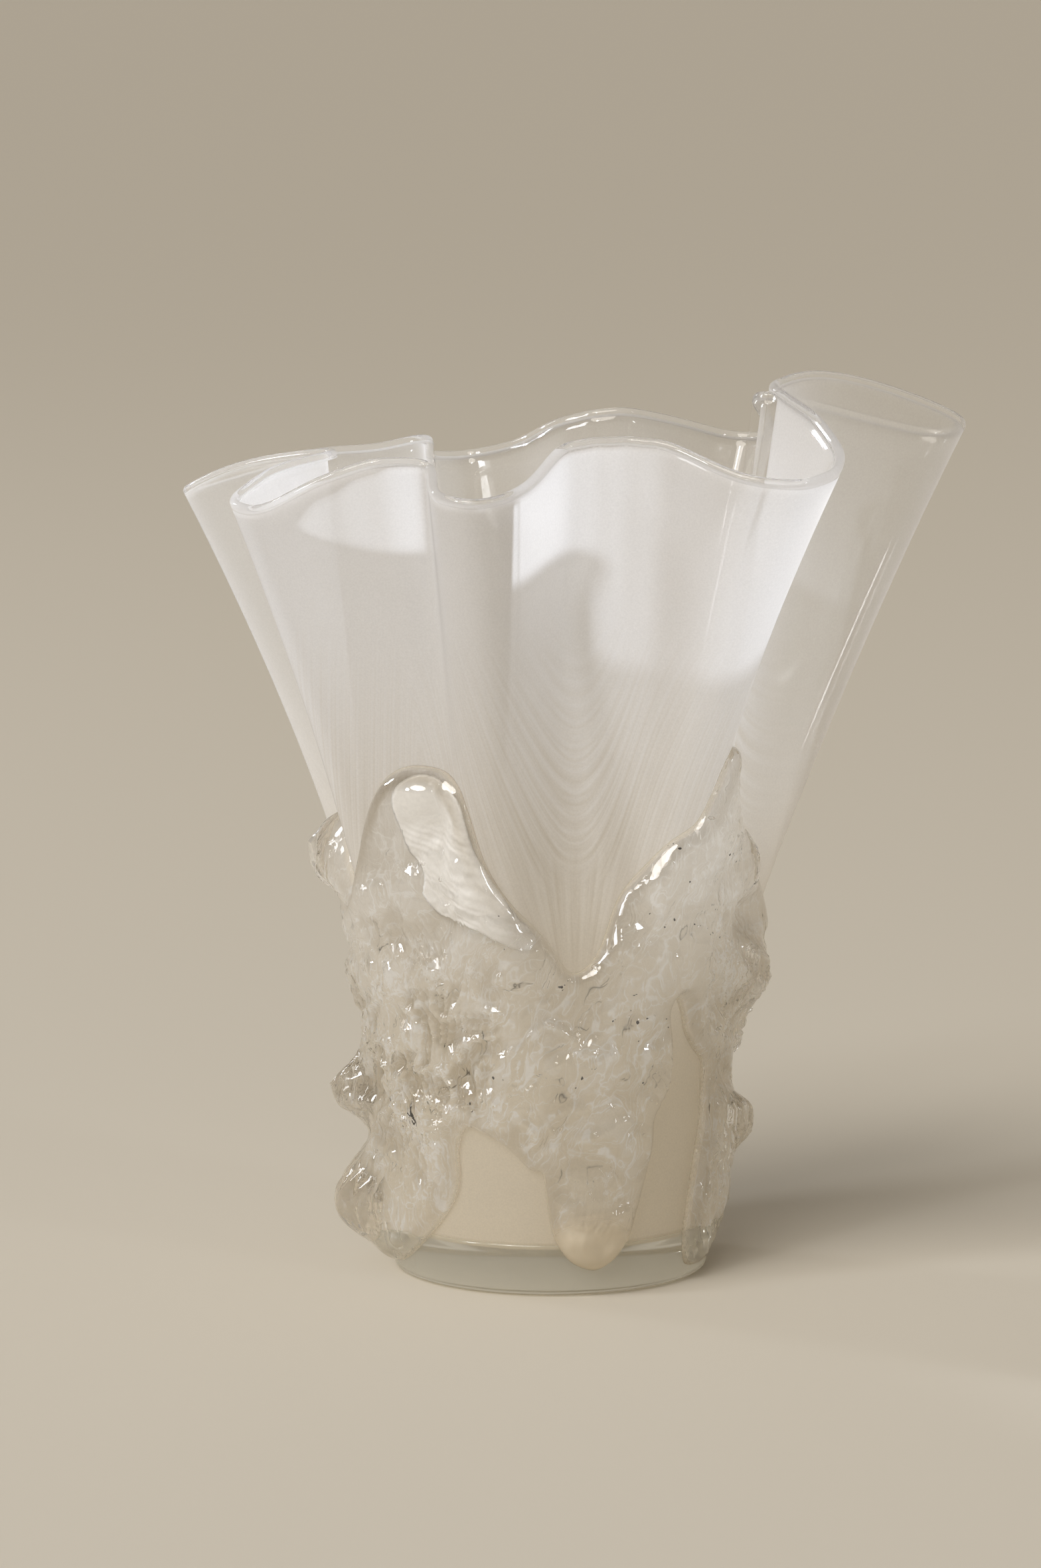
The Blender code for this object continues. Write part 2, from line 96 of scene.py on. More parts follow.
# Sides that bow outwards or inwards halfway up: angle, bow, spread in degrees
SIDE_BOWS = [(-46, -0.006, 9), (-29, -0.011, 12), (-10, -0.005, 9), (14, 0.006, 11)]

# The collar's ragged edges: angle, height
COLLAR_TOP = [
    (-177, 0.167), (-170, 0.153), (-164, 0.136), (-157, 0.139), (-150, 0.152), (-144, 0.168), (-138.6, 0.18),
    (-133, 0.1865), (-127.6, 0.1885), (-120.7, 0.1867), (-115, 0.1815), (-112.5, 0.174), (-107.9, 0.1546),
    (-101.9, 0.1417), (-91.7, 0.128), (-85, 0.1173), (-81.8, 0.1154), (-77, 0.118), (-73, 0.124), (-66.4, 0.142),
    (-58, 0.153), (-51.8, 0.1607), (-44, 0.167), (-40.5, 0.177), (-37.5, 0.1885), (-34, 0.1928), (-29, 0.188),
    (-23.5, 0.18), (-14, 0.17), (-4, 0.16), (6, 0.143), (16, 0.124), (27, 0.116), (38, 0.128), (50, 0.152),
    (62, 0.171), (72, 0.177), (82, 0.168), (92, 0.146), (103, 0.124), (113, 0.113), (122, 0.121), (131, 0.141),
    (139, 0.154), (146, 0.15), (154, 0.135), (161, 0.133), (168, 0.149), (175, 0.164),
]
COLLAR_BOTTOM = [
    (-178, 0.016), (-172, 0.009), (-165.7, 0.005), (-158, 0.0055), (-150.3, 0.009), (-141.2, 0.0154),
    (-130.6, 0.0257), (-124.6, 0.0347), (-123, 0.0432), (-123.4, 0.0507), (-119.9, 0.0595), (-112.5, 0.0576),
    (-106.3, 0.0543), (-102, 0.0508), (-96.4, 0.0456), (-93, 0.045), (-91.6, 0.036), (-89.2, 0.0228), (-84.2, 0.014),
    (-79, 0.0105), (-73.7, 0.0095), (-68, 0.0125), (-62.3, 0.0198), (-57.2, 0.0362), (-53.4, 0.052), (-52.6, 0.063),
    (-48.5, 0.0707), (-45.4, 0.08), (-45, 0.091), (-46.4, 0.1), (-43.4, 0.1045), (-39.4, 0.0985), (-35.9, 0.0904),
    (-29, 0.0835), (-23.2, 0.078), (-24.3, 0.0617), (-29, 0.0444), (-32.6, 0.0297), (-34.6, 0.017), (-33, 0.007),
    (-28, 0.0052), (-18.2, 0.008), (-8, 0.013), (2, 0.016), (12, 0.02), (20, 0.032), (26, 0.05), (36, 0.058),
    (48, 0.052), (58, 0.034), (66, 0.016), (74, 0.008), (84, 0.009), (92, 0.022), (97, 0.042), (104, 0.056),
    (114, 0.062), (124, 0.05), (131, 0.03), (138, 0.012), (147, 0.006), (157, 0.01), (164, 0.022), (170, 0.024),
    (176, 0.02),
]
# Thick places of the collar: angle, height, extra thickness, spread
COLLAR_LUMPS = [
    (-168, 0.027, 0.016, 0.018), (-174, 0.066, 0.014, 0.012), (-178, 0.104, 0.005, 0.014),
    (-179, 0.151, 0.013, 0.017), (-152, 0.052, 0.004, 0.013), (-128, 0.178, 0.003, 0.01), (-118, 0.112, 0.002, 0.018),
    (-76, 0.026, 0.002, 0.012), (-52, 0.12, 0.002, 0.016), (-6, 0.148, 0.0095, 0.015), (-2, 0.109, 0.0125, 0.015),
    (-5, 0.054, 0.007, 0.011), (46, 0.1, 0.005, 0.018), (74, 0.03, 0.007, 0.016), (84, 0.14, 0.004, 0.016),
    (112, 0.086, 0.004, 0.016), (150, 0.03, 0.008, 0.018), (152, 0.1, 0.005, 0.018),
]
# Bundles of pulled flutes: angle, height, spread, distance between flutes, depth, lean
FLUTES = [
    (-137, 0.064, 0.013, 0.0026, 0.0019, 0.35), (-124, 0.057, 0.01, 0.0026, 0.001, 0.2),
    (-76, 0.036, 0.0085, 0.0026, 0.0017, -0.15), (-118, 0.1, 0.011, 0.0028, 0.001, -0.3),
    (-55, 0.076, 0.01, 0.003, 0.0009, 0.55), (-128, 0.122, 0.013, 0.003, 0.0009, 0.6),
    (-20, 0.095, 0.012, 0.003, 0.0012, 0.2), (-158, 0.085, 0.012, 0.0028, 0.001, 0.3),
    (92, 0.07, 0.014, 0.0028, 0.0012, 0.3), (40, 0.08, 0.014, 0.0028, 0.0012, -0.3),
    (145, 0.07, 0.014, 0.0028, 0.0012, 0.2), (-29, 0.045, 0.02, 0.0048, 0.0014, -0.3),
]
LUMP_POWER = 3.0
LUMP_SPREAD = 0.92
COLLAR_THICKNESS = 0.0062
COLLAR_ROUNDING = 0.0070
# Ripples: size, height
RIPPLES = [(0.02, 0.0016), (0.0085, 0.0007)]

# The opal's pulled streaks gather at four notches of the collar: angle, height, width there, how fast they part
STREAK_ANGLE = -81.6
STREAK_HEIGHT = 0.112
STREAK_WAIST = 0.016
STREAK_POWER = 0.75
LOOP_WIDTH = 0.013
# Angles between which the opal is dense; it is thinner round the rest of the body
DENSE_SIDE = (-175, 3)

# White tongue of trapped milky glass in the collar's left peak: outline as angle and height
TONGUE = [
    (-127.2, 0.185), (-131.1, 0.182), (-133.8, 0.1775), (-134.1, 0.172), (-133.8, 0.168), (-131.9, 0.159),
    (-128.2, 0.151), (-128.9, 0.1435), (-126.3, 0.1385), (-123.6, 0.136), (-113.5, 0.1325), (-105, 0.1285),
    (-98, 0.1245), (-96, 0.128), (-101, 0.1375), (-104.2, 0.145), (-108.2, 0.1535), (-110.9, 0.16), (-112.9, 0.169),
    (-115.3, 0.178), (-122.5, 0.184),
]
TONGUE_STEP = 0.0006
TONGUE_DEPTH = 0.30
TONGUE_THICKNESS = 0.0007
# Dark specks in the collar: angle, height, and bubbles: angle, height, radius
DARK_SPECKS = [
    (-87.6, 0.1115), (-86.5, 0.112), (-85.1, 0.113), (-87.2, 0.1105), (-104.9, 0.1375), (-56.9, 0.1365),
    (-52.2, 0.1595), (-50.8, 0.16), (-49.2, 0.1585), (-26, 0.1565), (-19, 0.153), (-16.5, 0.152), (-12, 0.153),
    (-10.5, 0.151), (-14.5, 0.149), (-49.8, 0.1335), (-52.2, 0.1315), (-41, 0.1305), (-39.1, 0.1295), (-36, 0.129),
    (-33, 0.1365), (-28.5, 0.134), (-31.5, 0.1255), (-17.9, 0.1225), (-44.9, 0.1465), (-69.1, 0.0985), (-68.2, 0.099),
    (-63.1, 0.102), (-60.9, 0.0975), (-57.9, 0.0985), (-55.1, 0.0995), (-49.1, 0.0975), (-48, 0.094), (-60.9, 0.091),
    (-76.2, 0.0825), (-75.5, 0.083), (-79.6, 0.079), (-81.8, 0.076), (-57.9, 0.0755), (-62, 0.108), (-80.8, 0.042),
    (-75.6, 0.042), (-118.6, 0.0685), (-117.4, 0.069), (-116, 0.0655), (-117.4, 0.061), (-107.9, 0.079),
    (-125.2, 0.0885), (-145.4, 0.126), (-103.6, 0.126), (148, 0.08), (151, 0.083), (95, 0.11), (91, 0.106),
    (60, 0.125), (38, 0.09), (41, 0.093), (44, 0.088), (172, 0.12), (169, 0.118),
]
BUBBLES = [
    (-74.9, 0.117, 0.0016), (-40.5, 0.169, 0.0011), (-32.5, 0.1185, 0.0009), (-30.6, 0.1075, 0.001),
    (-127.5, 0.1545, 0.0009), (-123.1, 0.1495, 0.0011), (-102.8, 0.073, 0.0007), (-117, 0.0955, 0.0008),
    (-150, 0.06, 0.0012), (-160, 0.045, 0.001), (100, 0.1, 0.0012), (55, 0.11, 0.001),
]

# Where pieces of glass meet, each reaches a little into its neighbour, as fused glass has no gap
FUSED = 0.0003
LIP_DEPTH = 0.0028
# How far the opal's upper edge bulges under the lip, and the lip stands proud of the opal
EDGE_BULGE = 0.0006
LIP_PROUD = 0.00004

# Slow noises that bend the flutes and the wrinkles, and the wrinkles' own sizes and heights
BEND_SIZE, BEND_REACH = 0.012, 0.0025
WARP_SIZE, WARP_REACH = 0.016, 0.007
RIDGE_SIZE, RIDGE_HEIGHT = 0.0105, 0.0021
FLUTE_SIZE, FLUTE_LENGTH, FLUTE_HEIGHT = 0.0042, 0.0150, 0.0011
PIT_SIZE, PIT_HEIGHT = 0.0050, 0.0007
# How strong the wrinkles are, and where that changes: angle, height, spread, change
MEAN_ROUGHNESS = 0.45
ROUGH_PLACES = [
    (-128, 0.085, 0.045, 0.75), (-168, 0.030, 0.030, -0.30), (-150, 0.080, 0.030, 0.35), (-60, 0.100, 0.050, -0.12),
    (-5, 0.100, 0.030, 0.50), (90, 0.080, 0.060, 0.30),
]
SMOOTH_PLACES = [(-128, 0.186, 0.020), (-76, 0.012, 0.014)]
# The cream drop over the foot: angle, height, spread
DROP = (-76, 0.010, 0.024)

# Fineness of the meshes: columns round the vessel, rows up it, and steps over rounded corners
BODY_COLUMNS = 440
LIP_COLUMNS = 1800
FOOT_COLUMNS = 192
OUTER_ROWS = 96
INNER_ROWS = 84
LOWER_ROWS = 8
CORNER_STEPS = 8
FOOT_EDGE_STEPS = 6
SEAT_STEPS = 12
LIP_ARC_STEP = 15
COLLAR_STEP = 0.00125
EDGE_STEP = 0.0009
FINE_EDGE_STEP = 0.0002
EDGE_ROWS = (0.0003, 0.0008, 0.0015)

# Glass: colours, and shares from 0 to 1 of milk and of a wet gloss; specks
GLASS_IOR = 1.5
FOOT_MILK = 0.30
LIP_MILK = 0.13
WET_GLOSS = 0.08
# Painted shade: darker tint of the collar's glass in its creases and beside its thick edges
PAINTED_SHADE_TINT = (0.66, 0.61, 0.53)
DARK_SPECK_COLOR = (0.035, 0.03, 0.028)
DARK_SPECK_SIZE = 0.00022
# The opal high up, low down and in its streaks, and the painted light and painted shade of the collar's caustics on it
OPAL_HIGH = (0.905, 0.895, 0.895)
OPAL_LOW = (0.86, 0.79, 0.665)
OPAL_STREAK = (0.64, 0.57, 0.46)
PAINTED_CAUSTIC_LIGHT = (1.0, 0.985, 0.955)
PAINTED_CAUSTIC_SHADE = (0.16, 0.14, 0.11)
# How much light the opal scatters onward, and how much goes straight through where it is dense and thin
GLOW = 0.55
SEE_THROUGH_FRONT = 0.14
SEE_THROUGH_BACK = 0.66

STAGE_COLOR = (0.67, 0.62, 0.53)
STAGE_REACH = 400.0
STAGE_GAP = 0.0002

# Light: angle round the axis with 0 at +X, height above the horizon, both in degrees
KEY_TURN = 148.0
KEY_LIFT = 17.0
KEY_AIM = (-0.019, -0.030, 0.225)
KEY_DISTANCE = 1.8
KEY_REACH = 0.125
KEY_SIZE = 0.08
KEY_POWER = 118
KEY_BLEND = 0.30
KEY_COLOR = (0.84, 0.90, 1.0)
LAMP_AIM = (0, 0, 0.16)
# Small bright windows for the glints: name, angle, height, size, power
WINDOWS = [
    ("window_back", 150.0, 26.0, 0.42, 12.0),
    ("window_left", 207.0, 24.0, 0.66, 38.0),
    ("window_front", 236.0, 36.0, 0.28, 11.0),
    ("window_right", -38.0, 20.0, 0.30, 7.0),
]
WINDOW_DISTANCE = 4.0
WINDOW_HEIGHT_SHARE = 1.8
WINDOW_COLOR = (0.92, 0.95, 1.0)
SUN_TURN = 236.0
SUN_LIFT = 48.0
SUN_SPREAD = math.radians(35)
SUN_POWER = 1.65
SUN_COLOR = (1.0, 0.965, 0.92)
SUN_DISTANCE = 3.0
# Sky: the two heights of direction between which its strength goes from the third number to the fourth
SKY_RAMP = (0.05, 0.60, 0.46, 0.20)
SKY_COLOR = (1.0, 0.90, 0.76)


def turn_from(theta, degrees, period=2 * math.pi):
    """Turn from an angle in degrees to theta, within half a period either way."""
    return (theta - math.radians(degrees) + period / 2) % period - period / 2


def run_along(curve):
    """Distance run at each point of a curve."""
    return np.concatenate([[0], np.cumsum(np.linalg.norm(np.diff(curve, axis=0), axis=1))])


def smooth_step(value, low, high):
    """0 below low, 1 above high, and a smooth rise between."""
    share = np.clip((np.asarray(value, float) - low) / (high - low), 0, 1)
    return share * share * (3 - 2 * share)


def closed_spline(points, per_span):
    """Centripetal Catmull-Rom curve through a closed list of points, with per_span points for each."""
    points = np.asarray(points, float)
    count = len(points)
    curve = []
    for i in range(count):
        p0, p1, p2, p3 = (points[(i + k) % count] for k in (-1, 0, 1, 2))
        t1 = np.linalg.norm(p1 - p0) ** 0.5
        t2 = t1 + np.linalg.norm(p2 - p1) ** 0.5
        t3 = t2 + np.linalg.norm(p3 - p2) ** 0.5
        for t in np.linspace(t1, t2, per_span, endpoint=False):
            a1 = ((t1 - t) * p0 + t * p1) / t1
            a2 = ((t2 - t) * p1 + (t - t1) * p2) / (t2 - t1)
            a3 = ((t3 - t) * p2 + (t - t2) * p3) / (t3 - t2)
            b1 = ((t2 - t) * a1 + t * a2) / t2
            b2 = ((t3 - t) * a2 + (t - t1) * a3) / (t3 - t1)
            curve.append(((t2 - t) * b1 + (t - t1) * b2) / (t2 - t1))
    return np.array(curve)


def rim_spectrum(samples=1024):
    """The rim's reach and height as waves round the axis, so that fine folds can fade before broad ones."""
    angles, reach, height = np.array(RIM_FOLDS).T
    angles = np.radians(angles)
    radius = MEAN_RIM_RADIUS + reach
    corners = np.stack([radius * np.cos(angles), radius * np.sin(angles), RIM_HEIGHT + height], -1)
    curve = closed_spline(corners, SPLINE_STEPS)
    turn = np.unwrap(np.arctan2(curve[:, 1], curve[:, 0]))
    even = np.arange(samples) * 2 * math.pi / samples
    return [np.fft.rfft(np.interp(even, turn, values, period=2 * math.pi))[:FOLD_WAVES] / samples
            for values in (np.hypot(curve[:, 0], curve[:, 1]), curve[:, 2])]


REACH_WAVES, HEIGHT_WAVES = rim_spectrum()


def waves_at(spectrum, theta, weight=1.0):
    """Value of a spectrum at the angles theta, each wave scaled by its weight."""
    order = np.arange(FOLD_WAVES)
    turns = np.exp(1j * order * theta[..., None])
    doubled = np.where(order == 0, 1.0, 2.0)
    return (doubled * weight * spectrum * turns).real.sum(-1)


def height_of(theta, level):
    """Height of the skin at a level: the same up to FOLD_START, then stretched up to the rim."""
    rim = waves_at(HEIGHT_WAVES, theta)
    above = (level - FOLD_START) / (RIM_HEIGHT - FOLD_START)
    return np.where(above > 0, FOLD_START + above * (rim - FOLD_START), level)


def level_of(theta, height):
    """The level whose skin lies at a height."""
    rim = waves_at(HEIGHT_WAVES, theta)
    above = (height - FOLD_START) / (rim - FOLD_START)
    return np.where(above > 0, FOLD_START + above * (RIM_HEIGHT - FOLD_START), height)


def skin(theta, level):
    """Outer surface of the blown body, as points, for arrays of angles and levels."""
    theta, level = np.broadcast_arrays(np.asarray(theta, float), np.asarray(level, float))
    grown = np.clip((level - FOLD_START) / (RIM_HEIGHT - FOLD_START), 0.0, None)
    radius = FOOT_RADIUS + BODY_TAPER * level / RIM_HEIGHT + RIM_FLARE * grown ** FLARE_POWER
    order = np.arange(FOLD_WAVES)
    fade = np.where(order == 0, 0.0, grown[..., None] ** (FOLD_POWER + FOLD_POWER_PER_WAVE * order))
    radius = radius + waves_at(REACH_WAVES, theta, fade)
    radius = radius + (REACH_WAVES[0].real - MEAN_RIM_RADIUS) * grown ** FOLD_POWER
    for angle, bow, spread in SIDE_BOWS:
        beside = np.exp(-(turn_from(theta, angle) / math.radians(spread)) ** 2)
        radius = radius + bow * np.sin(math.pi * np.clip(grown, 0, 1)) * beside
    return np.stack([radius * np.cos(theta), radius * np.sin(theta), height_of(theta, level)], -1)


def skin_frame(theta, level):
    """Point, outward normal and upward tangent of the skin."""
    theta, level = np.broadcast_arrays(np.asarray(theta, float), np.asarray(level, float))
    turn, lift = 2e-4, 1e-5
    along = skin(theta + turn, level) - skin(theta - turn, level)
    up = skin(theta, level + lift) - skin(theta, level - lift)
    up /= np.linalg.norm(up, axis=-1, keepdims=True)
    normal = np.cross(along, up)
    normal /= np.linalg.norm(normal, axis=-1, keepdims=True)
    return skin(theta, level), normal, up


def skin_radius(height):
    """Radius of the plain round body below FOLD_START."""
    return float(np.hypot(*skin(0.0, height)[:2]))


def wall_at(level):
    """Thickness of the wall at a level."""
    return WALL_AT_FOOT + (WALL_AT_RIM - WALL_AT_FOOT) * level / RIM_HEIGHT


def rim_columns(count):
    """Angles of the body's columns, spaced evenly along the folded rim."""
    theta = np.linspace(0, 2 * math.pi, 8001)
    rim = skin(theta, RIM_HEIGHT)
    run = run_along(rim)
    return np.interp(np.arange(count) * run[-1] / count, run, theta)


def circle(radius, height, angles):
    """Ring of points at one radius and height."""
    return np.stack([radius * np.cos(angles), radius * np.sin(angles), np.full(len(angles), height)], -1)


def quarter_arc(radius, height, rounding, steps):
    """Points of a rounded lower corner, from the flat below to the wall: radius and height pairs."""
    centre = (radius - rounding, height + rounding)
    turns = np.linspace(0, math.pi / 2, steps + 1)
    return [(centre[0] + rounding * math.sin(a), centre[1] - rounding * math.cos(a)) for a in turns]


# Meshes

def add_object(name, data):
    """Puts a mesh, lamp or camera into the scene."""
    made = bpy.data.objects.new(name, data)
    bpy.context.scene.collection.objects.link(made)
    return made


def add_piece(name, points, faces, materials, replaced=(), indices=None):
    """Makes a smooth mesh piece that rides on the part's only body."""
    mesh = bpy.data.meshes.new(name)
    mesh.from_pydata(np.asarray(points).tolist(), [], faces)
    for material in materials:
        mesh.materials.append(material)
    if indices is not None:
        mesh.polygons.foreach_set("material_index", indices)
    mesh.shade_smooth()
    mesh.update()
    piece = add_object(name, mesh)
    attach(piece, "root")
    if replaced:
        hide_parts(*replaced)
    return piece


def add_attribute(piece, name, values):
    """Stores one number for each point of a piece, for its material."""
    attribute = piece.data.attributes.new(name, "FLOAT", "POINT")
    attribute.data.foreach_set("value", np.asarray(values, np.float32))


def ring_faces(rings, columns, closed=False):
    """Quads between rings of points that follow each other, and from the last to the first if closed."""
    faces = []
    for row in range(rings if closed else rings - 1):
        lower, upper = row * columns, (row + 1) % rings * columns
        for i in range(columns):
            j = (i + 1) % columns
            faces.append((lower + i, lower + j, upper + j, upper + i))
    return faces


def capped(rings, columns, faces, points, first_pole, last_pole):
    """Adds a fan on a pole at both ends of a stack of rings."""
    points = np.concatenate([points, [first_pole, last_pole]])
    first, last = rings * columns, rings * columns + 1
    top = (rings - 1) * columns
    for i in range(columns):
        j = (i + 1) % columns
        faces.append((j, i, first))
        faces.append((top + i, top + j, last))
    return points


def flow_lines(theta, height):
    """Value that stays the same along the opal's pulled streaks, which gather at the collar's notches."""
    spread = np.maximum(height - STREAK_HEIGHT, 0.0) + STREAK_WAIST
    return np.abs(turn_from(theta, STREAK_ANGLE, math.pi / 2)) * MAP_RADIUS / spread ** STREAK_POWER


def loop_lines(theta, height):
    """Value that stays the same along the opal's nested loops over the notches."""
    return height - (turn_from(theta, STREAK_ANGLE, math.pi / 2) * MAP_RADIUS) ** 2 / LOOP_WIDTH


def thin_opal(theta):
    """How thin the opal was blown: dense in the front folds, thin in the long back and side folds."""
    half, soft = math.radians((DENSE_SIDE[1] - DENSE_SIDE[0]) / 2), math.radians(5)
    return smooth_step(np.abs(turn_from(theta, sum(DENSE_SIDE) / 2)), half - soft, half + soft)


def painted_caustic_strength(points, sheet):
    """How strongly the painted caustic light and shade of the rough collar show at each point of the body."""
    flat, corners, _, edge = sheet
    used = np.unique(corners)
    tree = flat_tree(flat[used])
    strength = ((0.55 + 0.60 * collar_roughness(flat)) * np.minimum(1.0, edge / COLLAR_ROUNDING))[used]
    across = np.arctan2(points[:, 1], points[:, 0]) * MAP_RADIUS
    cover = np.zeros(len(points))
    for i in np.flatnonzero(points[:, 2] < max(z for _, z in COLLAR_TOP)):
        _, nearest, distance = tree.find((across[i], points[i, 2], 0))
        if distance < COLLAR_STEP:
            cover[i] = strength[nearest]
    return cover


def build_opal(opal, inner_gloss, sheet):
    """Opal body: the outer skin with its rounded bottom, the edge under the lip and the hollow's own skin."""
    angles = rim_columns(BODY_COLUMNS)
    seat_top = FOOT_DEPTH + SEAT_ROUNDING
    corner = quarter_arc(skin_radius(seat_top), FOOT_DEPTH, SEAT_ROUNDING, CORNER_STEPS)
    rings = [circle(r, z, angles) for r, z in corner]
    top_level = RIM_HEIGHT - LIP_DEPTH
    rings += [skin(angles, seat_top + (FOLD_START - seat_top) * i / LOWER_ROWS) for i in range(1, LOWER_ROWS)]
    rings += [skin(angles, FOLD_START + (top_level - FOLD_START) * i / OUTER_ROWS) for i in range(OUTER_ROWS + 1)]
    outer_rings = len(rings)
    point, normal, up = skin_frame(angles, top_level)
    middle = point - normal * WALL_AT_RIM / 2
    for turn in (45, 90, 135):
        swing = math.radians(turn)
        rings.append(middle + normal * WALL_AT_RIM / 2 * math.cos(swing) + up * EDGE_BULGE * math.sin(swing))
    edge_rings = len(rings)
    inner_base = FOOT_DEPTH + FLOOR
    first = inner_base + FLOOR_ROUNDING
    for i in range(INNER_ROWS + 1):
        level = top_level + (first - top_level) * i / INNER_ROWS
        point, normal, _ = skin_frame(angles, level)
        rings.append(point - normal * wall_at(level))
    corner = quarter_arc(skin_radius(first) - wall_at(first), inner_base, FLOOR_ROUNDING, CORNER_STEPS)[:-1]
    rings += [circle(r, z, angles) for r, z in reversed(corner)]
    columns = BODY_COLUMNS
    faces = ring_faces(len(rings), columns)
    indices = [int(face[0] // columns >= edge_rings - 1) for face in faces]
    points = capped(len(rings), columns, faces, np.concatenate(rings), (0, 0, FOOT_DEPTH), (0, 0, inner_base))
    indices += [0, 1] * columns
    piece = add_piece("opal_body", points, faces, [opal, inner_gloss], ["opal_vessel"], indices)
    turn = np.arctan2(points[:, 1], points[:, 0])
    add_attribute(piece, "flow", flow_lines(turn, points[:, 2]))
    add_attribute(piece, "loop", loop_lines(turn, points[:, 2]))
    add_attribute(piece, "thin", thin_opal(turn))
    # Strength of the painted caustic light and shade under the collar
    under = painted_caustic_strength(points[:outer_rings * columns], sheet)
    add_attribute(piece, "under", np.pad(under, (0, len(points) - len(under))))


def build_lip(glass):
    """Clear lip: a rounded bead of glass along the rim that takes in the opal's edge."""
    angles = rim_columns(LIP_COLUMNS)
    low = RIM_HEIGHT - LIP_DEPTH - FUSED
    high = RIM_HEIGHT - WALL_AT_RIM / 2
    rings = []
    for level in (low, (low + high) / 2):
        point, normal, _ = skin_frame(angles, level)
        rings.append(point + normal * LIP_PROUD)
    edge, normal, up = skin_frame(angles, high)
    half = WALL_AT_RIM / 2
    for turn in range(0, 181, LIP_ARC_STEP):
        swing = math.radians(turn)
        rings.append(edge + half * (normal * (math.cos(swing) - 1) + up * math.sin(swing)))
    for level in ((low + high) / 2, low):
        point, normal, _ = skin_frame(angles, level)
        rings.append(point - normal * (WALL_AT_RIM + LIP_PROUD))
    faces = ring_faces(len(rings), LIP_COLUMNS, closed=True)
    add_piece("clear_lip", np.concatenate(rings), faces, [glass])


def build_foot(glass):
    """Clear foot: a thick disc with a soft lower edge, fused round the opal's rounded bottom."""
    angles = np.arange(FOOT_COLUMNS) * 2 * math.pi / FOOT_COLUMNS
    outer = quarter_arc(skin_radius(FOOT_EDGE), 0.0, FOOT_EDGE, FOOT_EDGE_STEPS)
    top = FOOT_DEPTH + SEAT_ROUNDING
    outer += [(skin_radius(z), z) for z in np.linspace(FOOT_EDGE, top, 9)[1:-1]]
    seat = quarter_arc(skin_radius(top), FOOT_DEPTH, SEAT_ROUNDING, SEAT_STEPS)
    inner = [(r - FUSED * math.sin(a), z + FUSED * math.cos(a))
             for (r, z), a in zip(seat, np.linspace(0, math.pi / 2, SEAT_STEPS + 1))]
    rings = [circle(r, z, angles) for r, z in outer + inner[::-1]]
    faces = ring_faces(len(rings), len(angles))
    points = capped(len(rings), len(angles), faces, np.concatenate(rings), (0, 0, 0), (0, 0, FOOT_DEPTH + FUSED))
    add_piece("clear_foot_glass", points, faces, [glass], ["clear_foot"])


# The collar

def edge_line(points, step):
    """One ragged collar edge on the flat map, from angle -180 to 180, in even steps."""
    points = np.asarray(points, float)
    flat = np.stack([np.radians(points[:, 0]) * MAP_RADIUS, points[:, 1]], -1)
    turn = 2 * math.pi * MAP_RADIUS
    wide = np.concatenate([flat - (turn, 0), flat, flat + (turn, 0)])
    curve = closed_spline(wide, SPLINE_STEPS)[:-SPLINE_STEPS]
    seam_height = np.interp(turn / 2, curve[:, 0], curve[:, 1])
    inside = curve[(curve[:, 0] > -turn / 2) & (curve[:, 0] < turn / 2)]
    inside = np.concatenate([[(-turn / 2, seam_height)], inside, [(turn / 2, seam_height)]])
    run = run_along(inside)
    even = np.linspace(0, run[-1], int(run[-1] / step) + 1)
    return np.stack([np.interp(even, run, inside[:, 0]), np.interp(even, run, inside[:, 1])], -1)


def flat_tree(spots):
    """Search tree of points on the flat map."""
    tree = kdtree.KDTree(len(spots))
    for i, (x, z) in enumerate(spots):
        tree.insert((x, z, 0), i)
    tree.balance()
    return tree


def edge_tree(lines):
    """Search tree of the collar's edges, which repeat round the vessel."""
    turn = 2 * math.pi * MAP_RADIUS
    return flat_tree(np.concatenate([line + (shift, 0) for line in lines for shift in (-turn, 0, turn)]))


def edge_distances(tree, flat):
    """Distance on the flat map from each point to the nearest point of a search tree."""
    return np.array([tree.find((x, z, 0))[2] for x, z in flat])


def offset_row(line, side, distance):
    """Row of points beside an edge line, towards the collar's middle."""
    along = np.gradient(line, axis=0)
    across = np.stack([-along[:, 1], along[:, 0]], -1) * side
    across /= np.linalg.norm(across, axis=1, keepdims=True)
    return line + across * distance


def triangulate(outline, inner):
    """Triangles that fill an outline on the flat map, with more points in it."""
    points = [Vector(p) for p in (*outline, *inner)]
    inside_only, weld = 1, 1e-7
    verts, _, faces, *_ = delaunay_2d_cdt(points, [], [list(range(len(outline)))], inside_only, weld)
    return np.array([tuple(v) for v in verts]), np.array(faces)


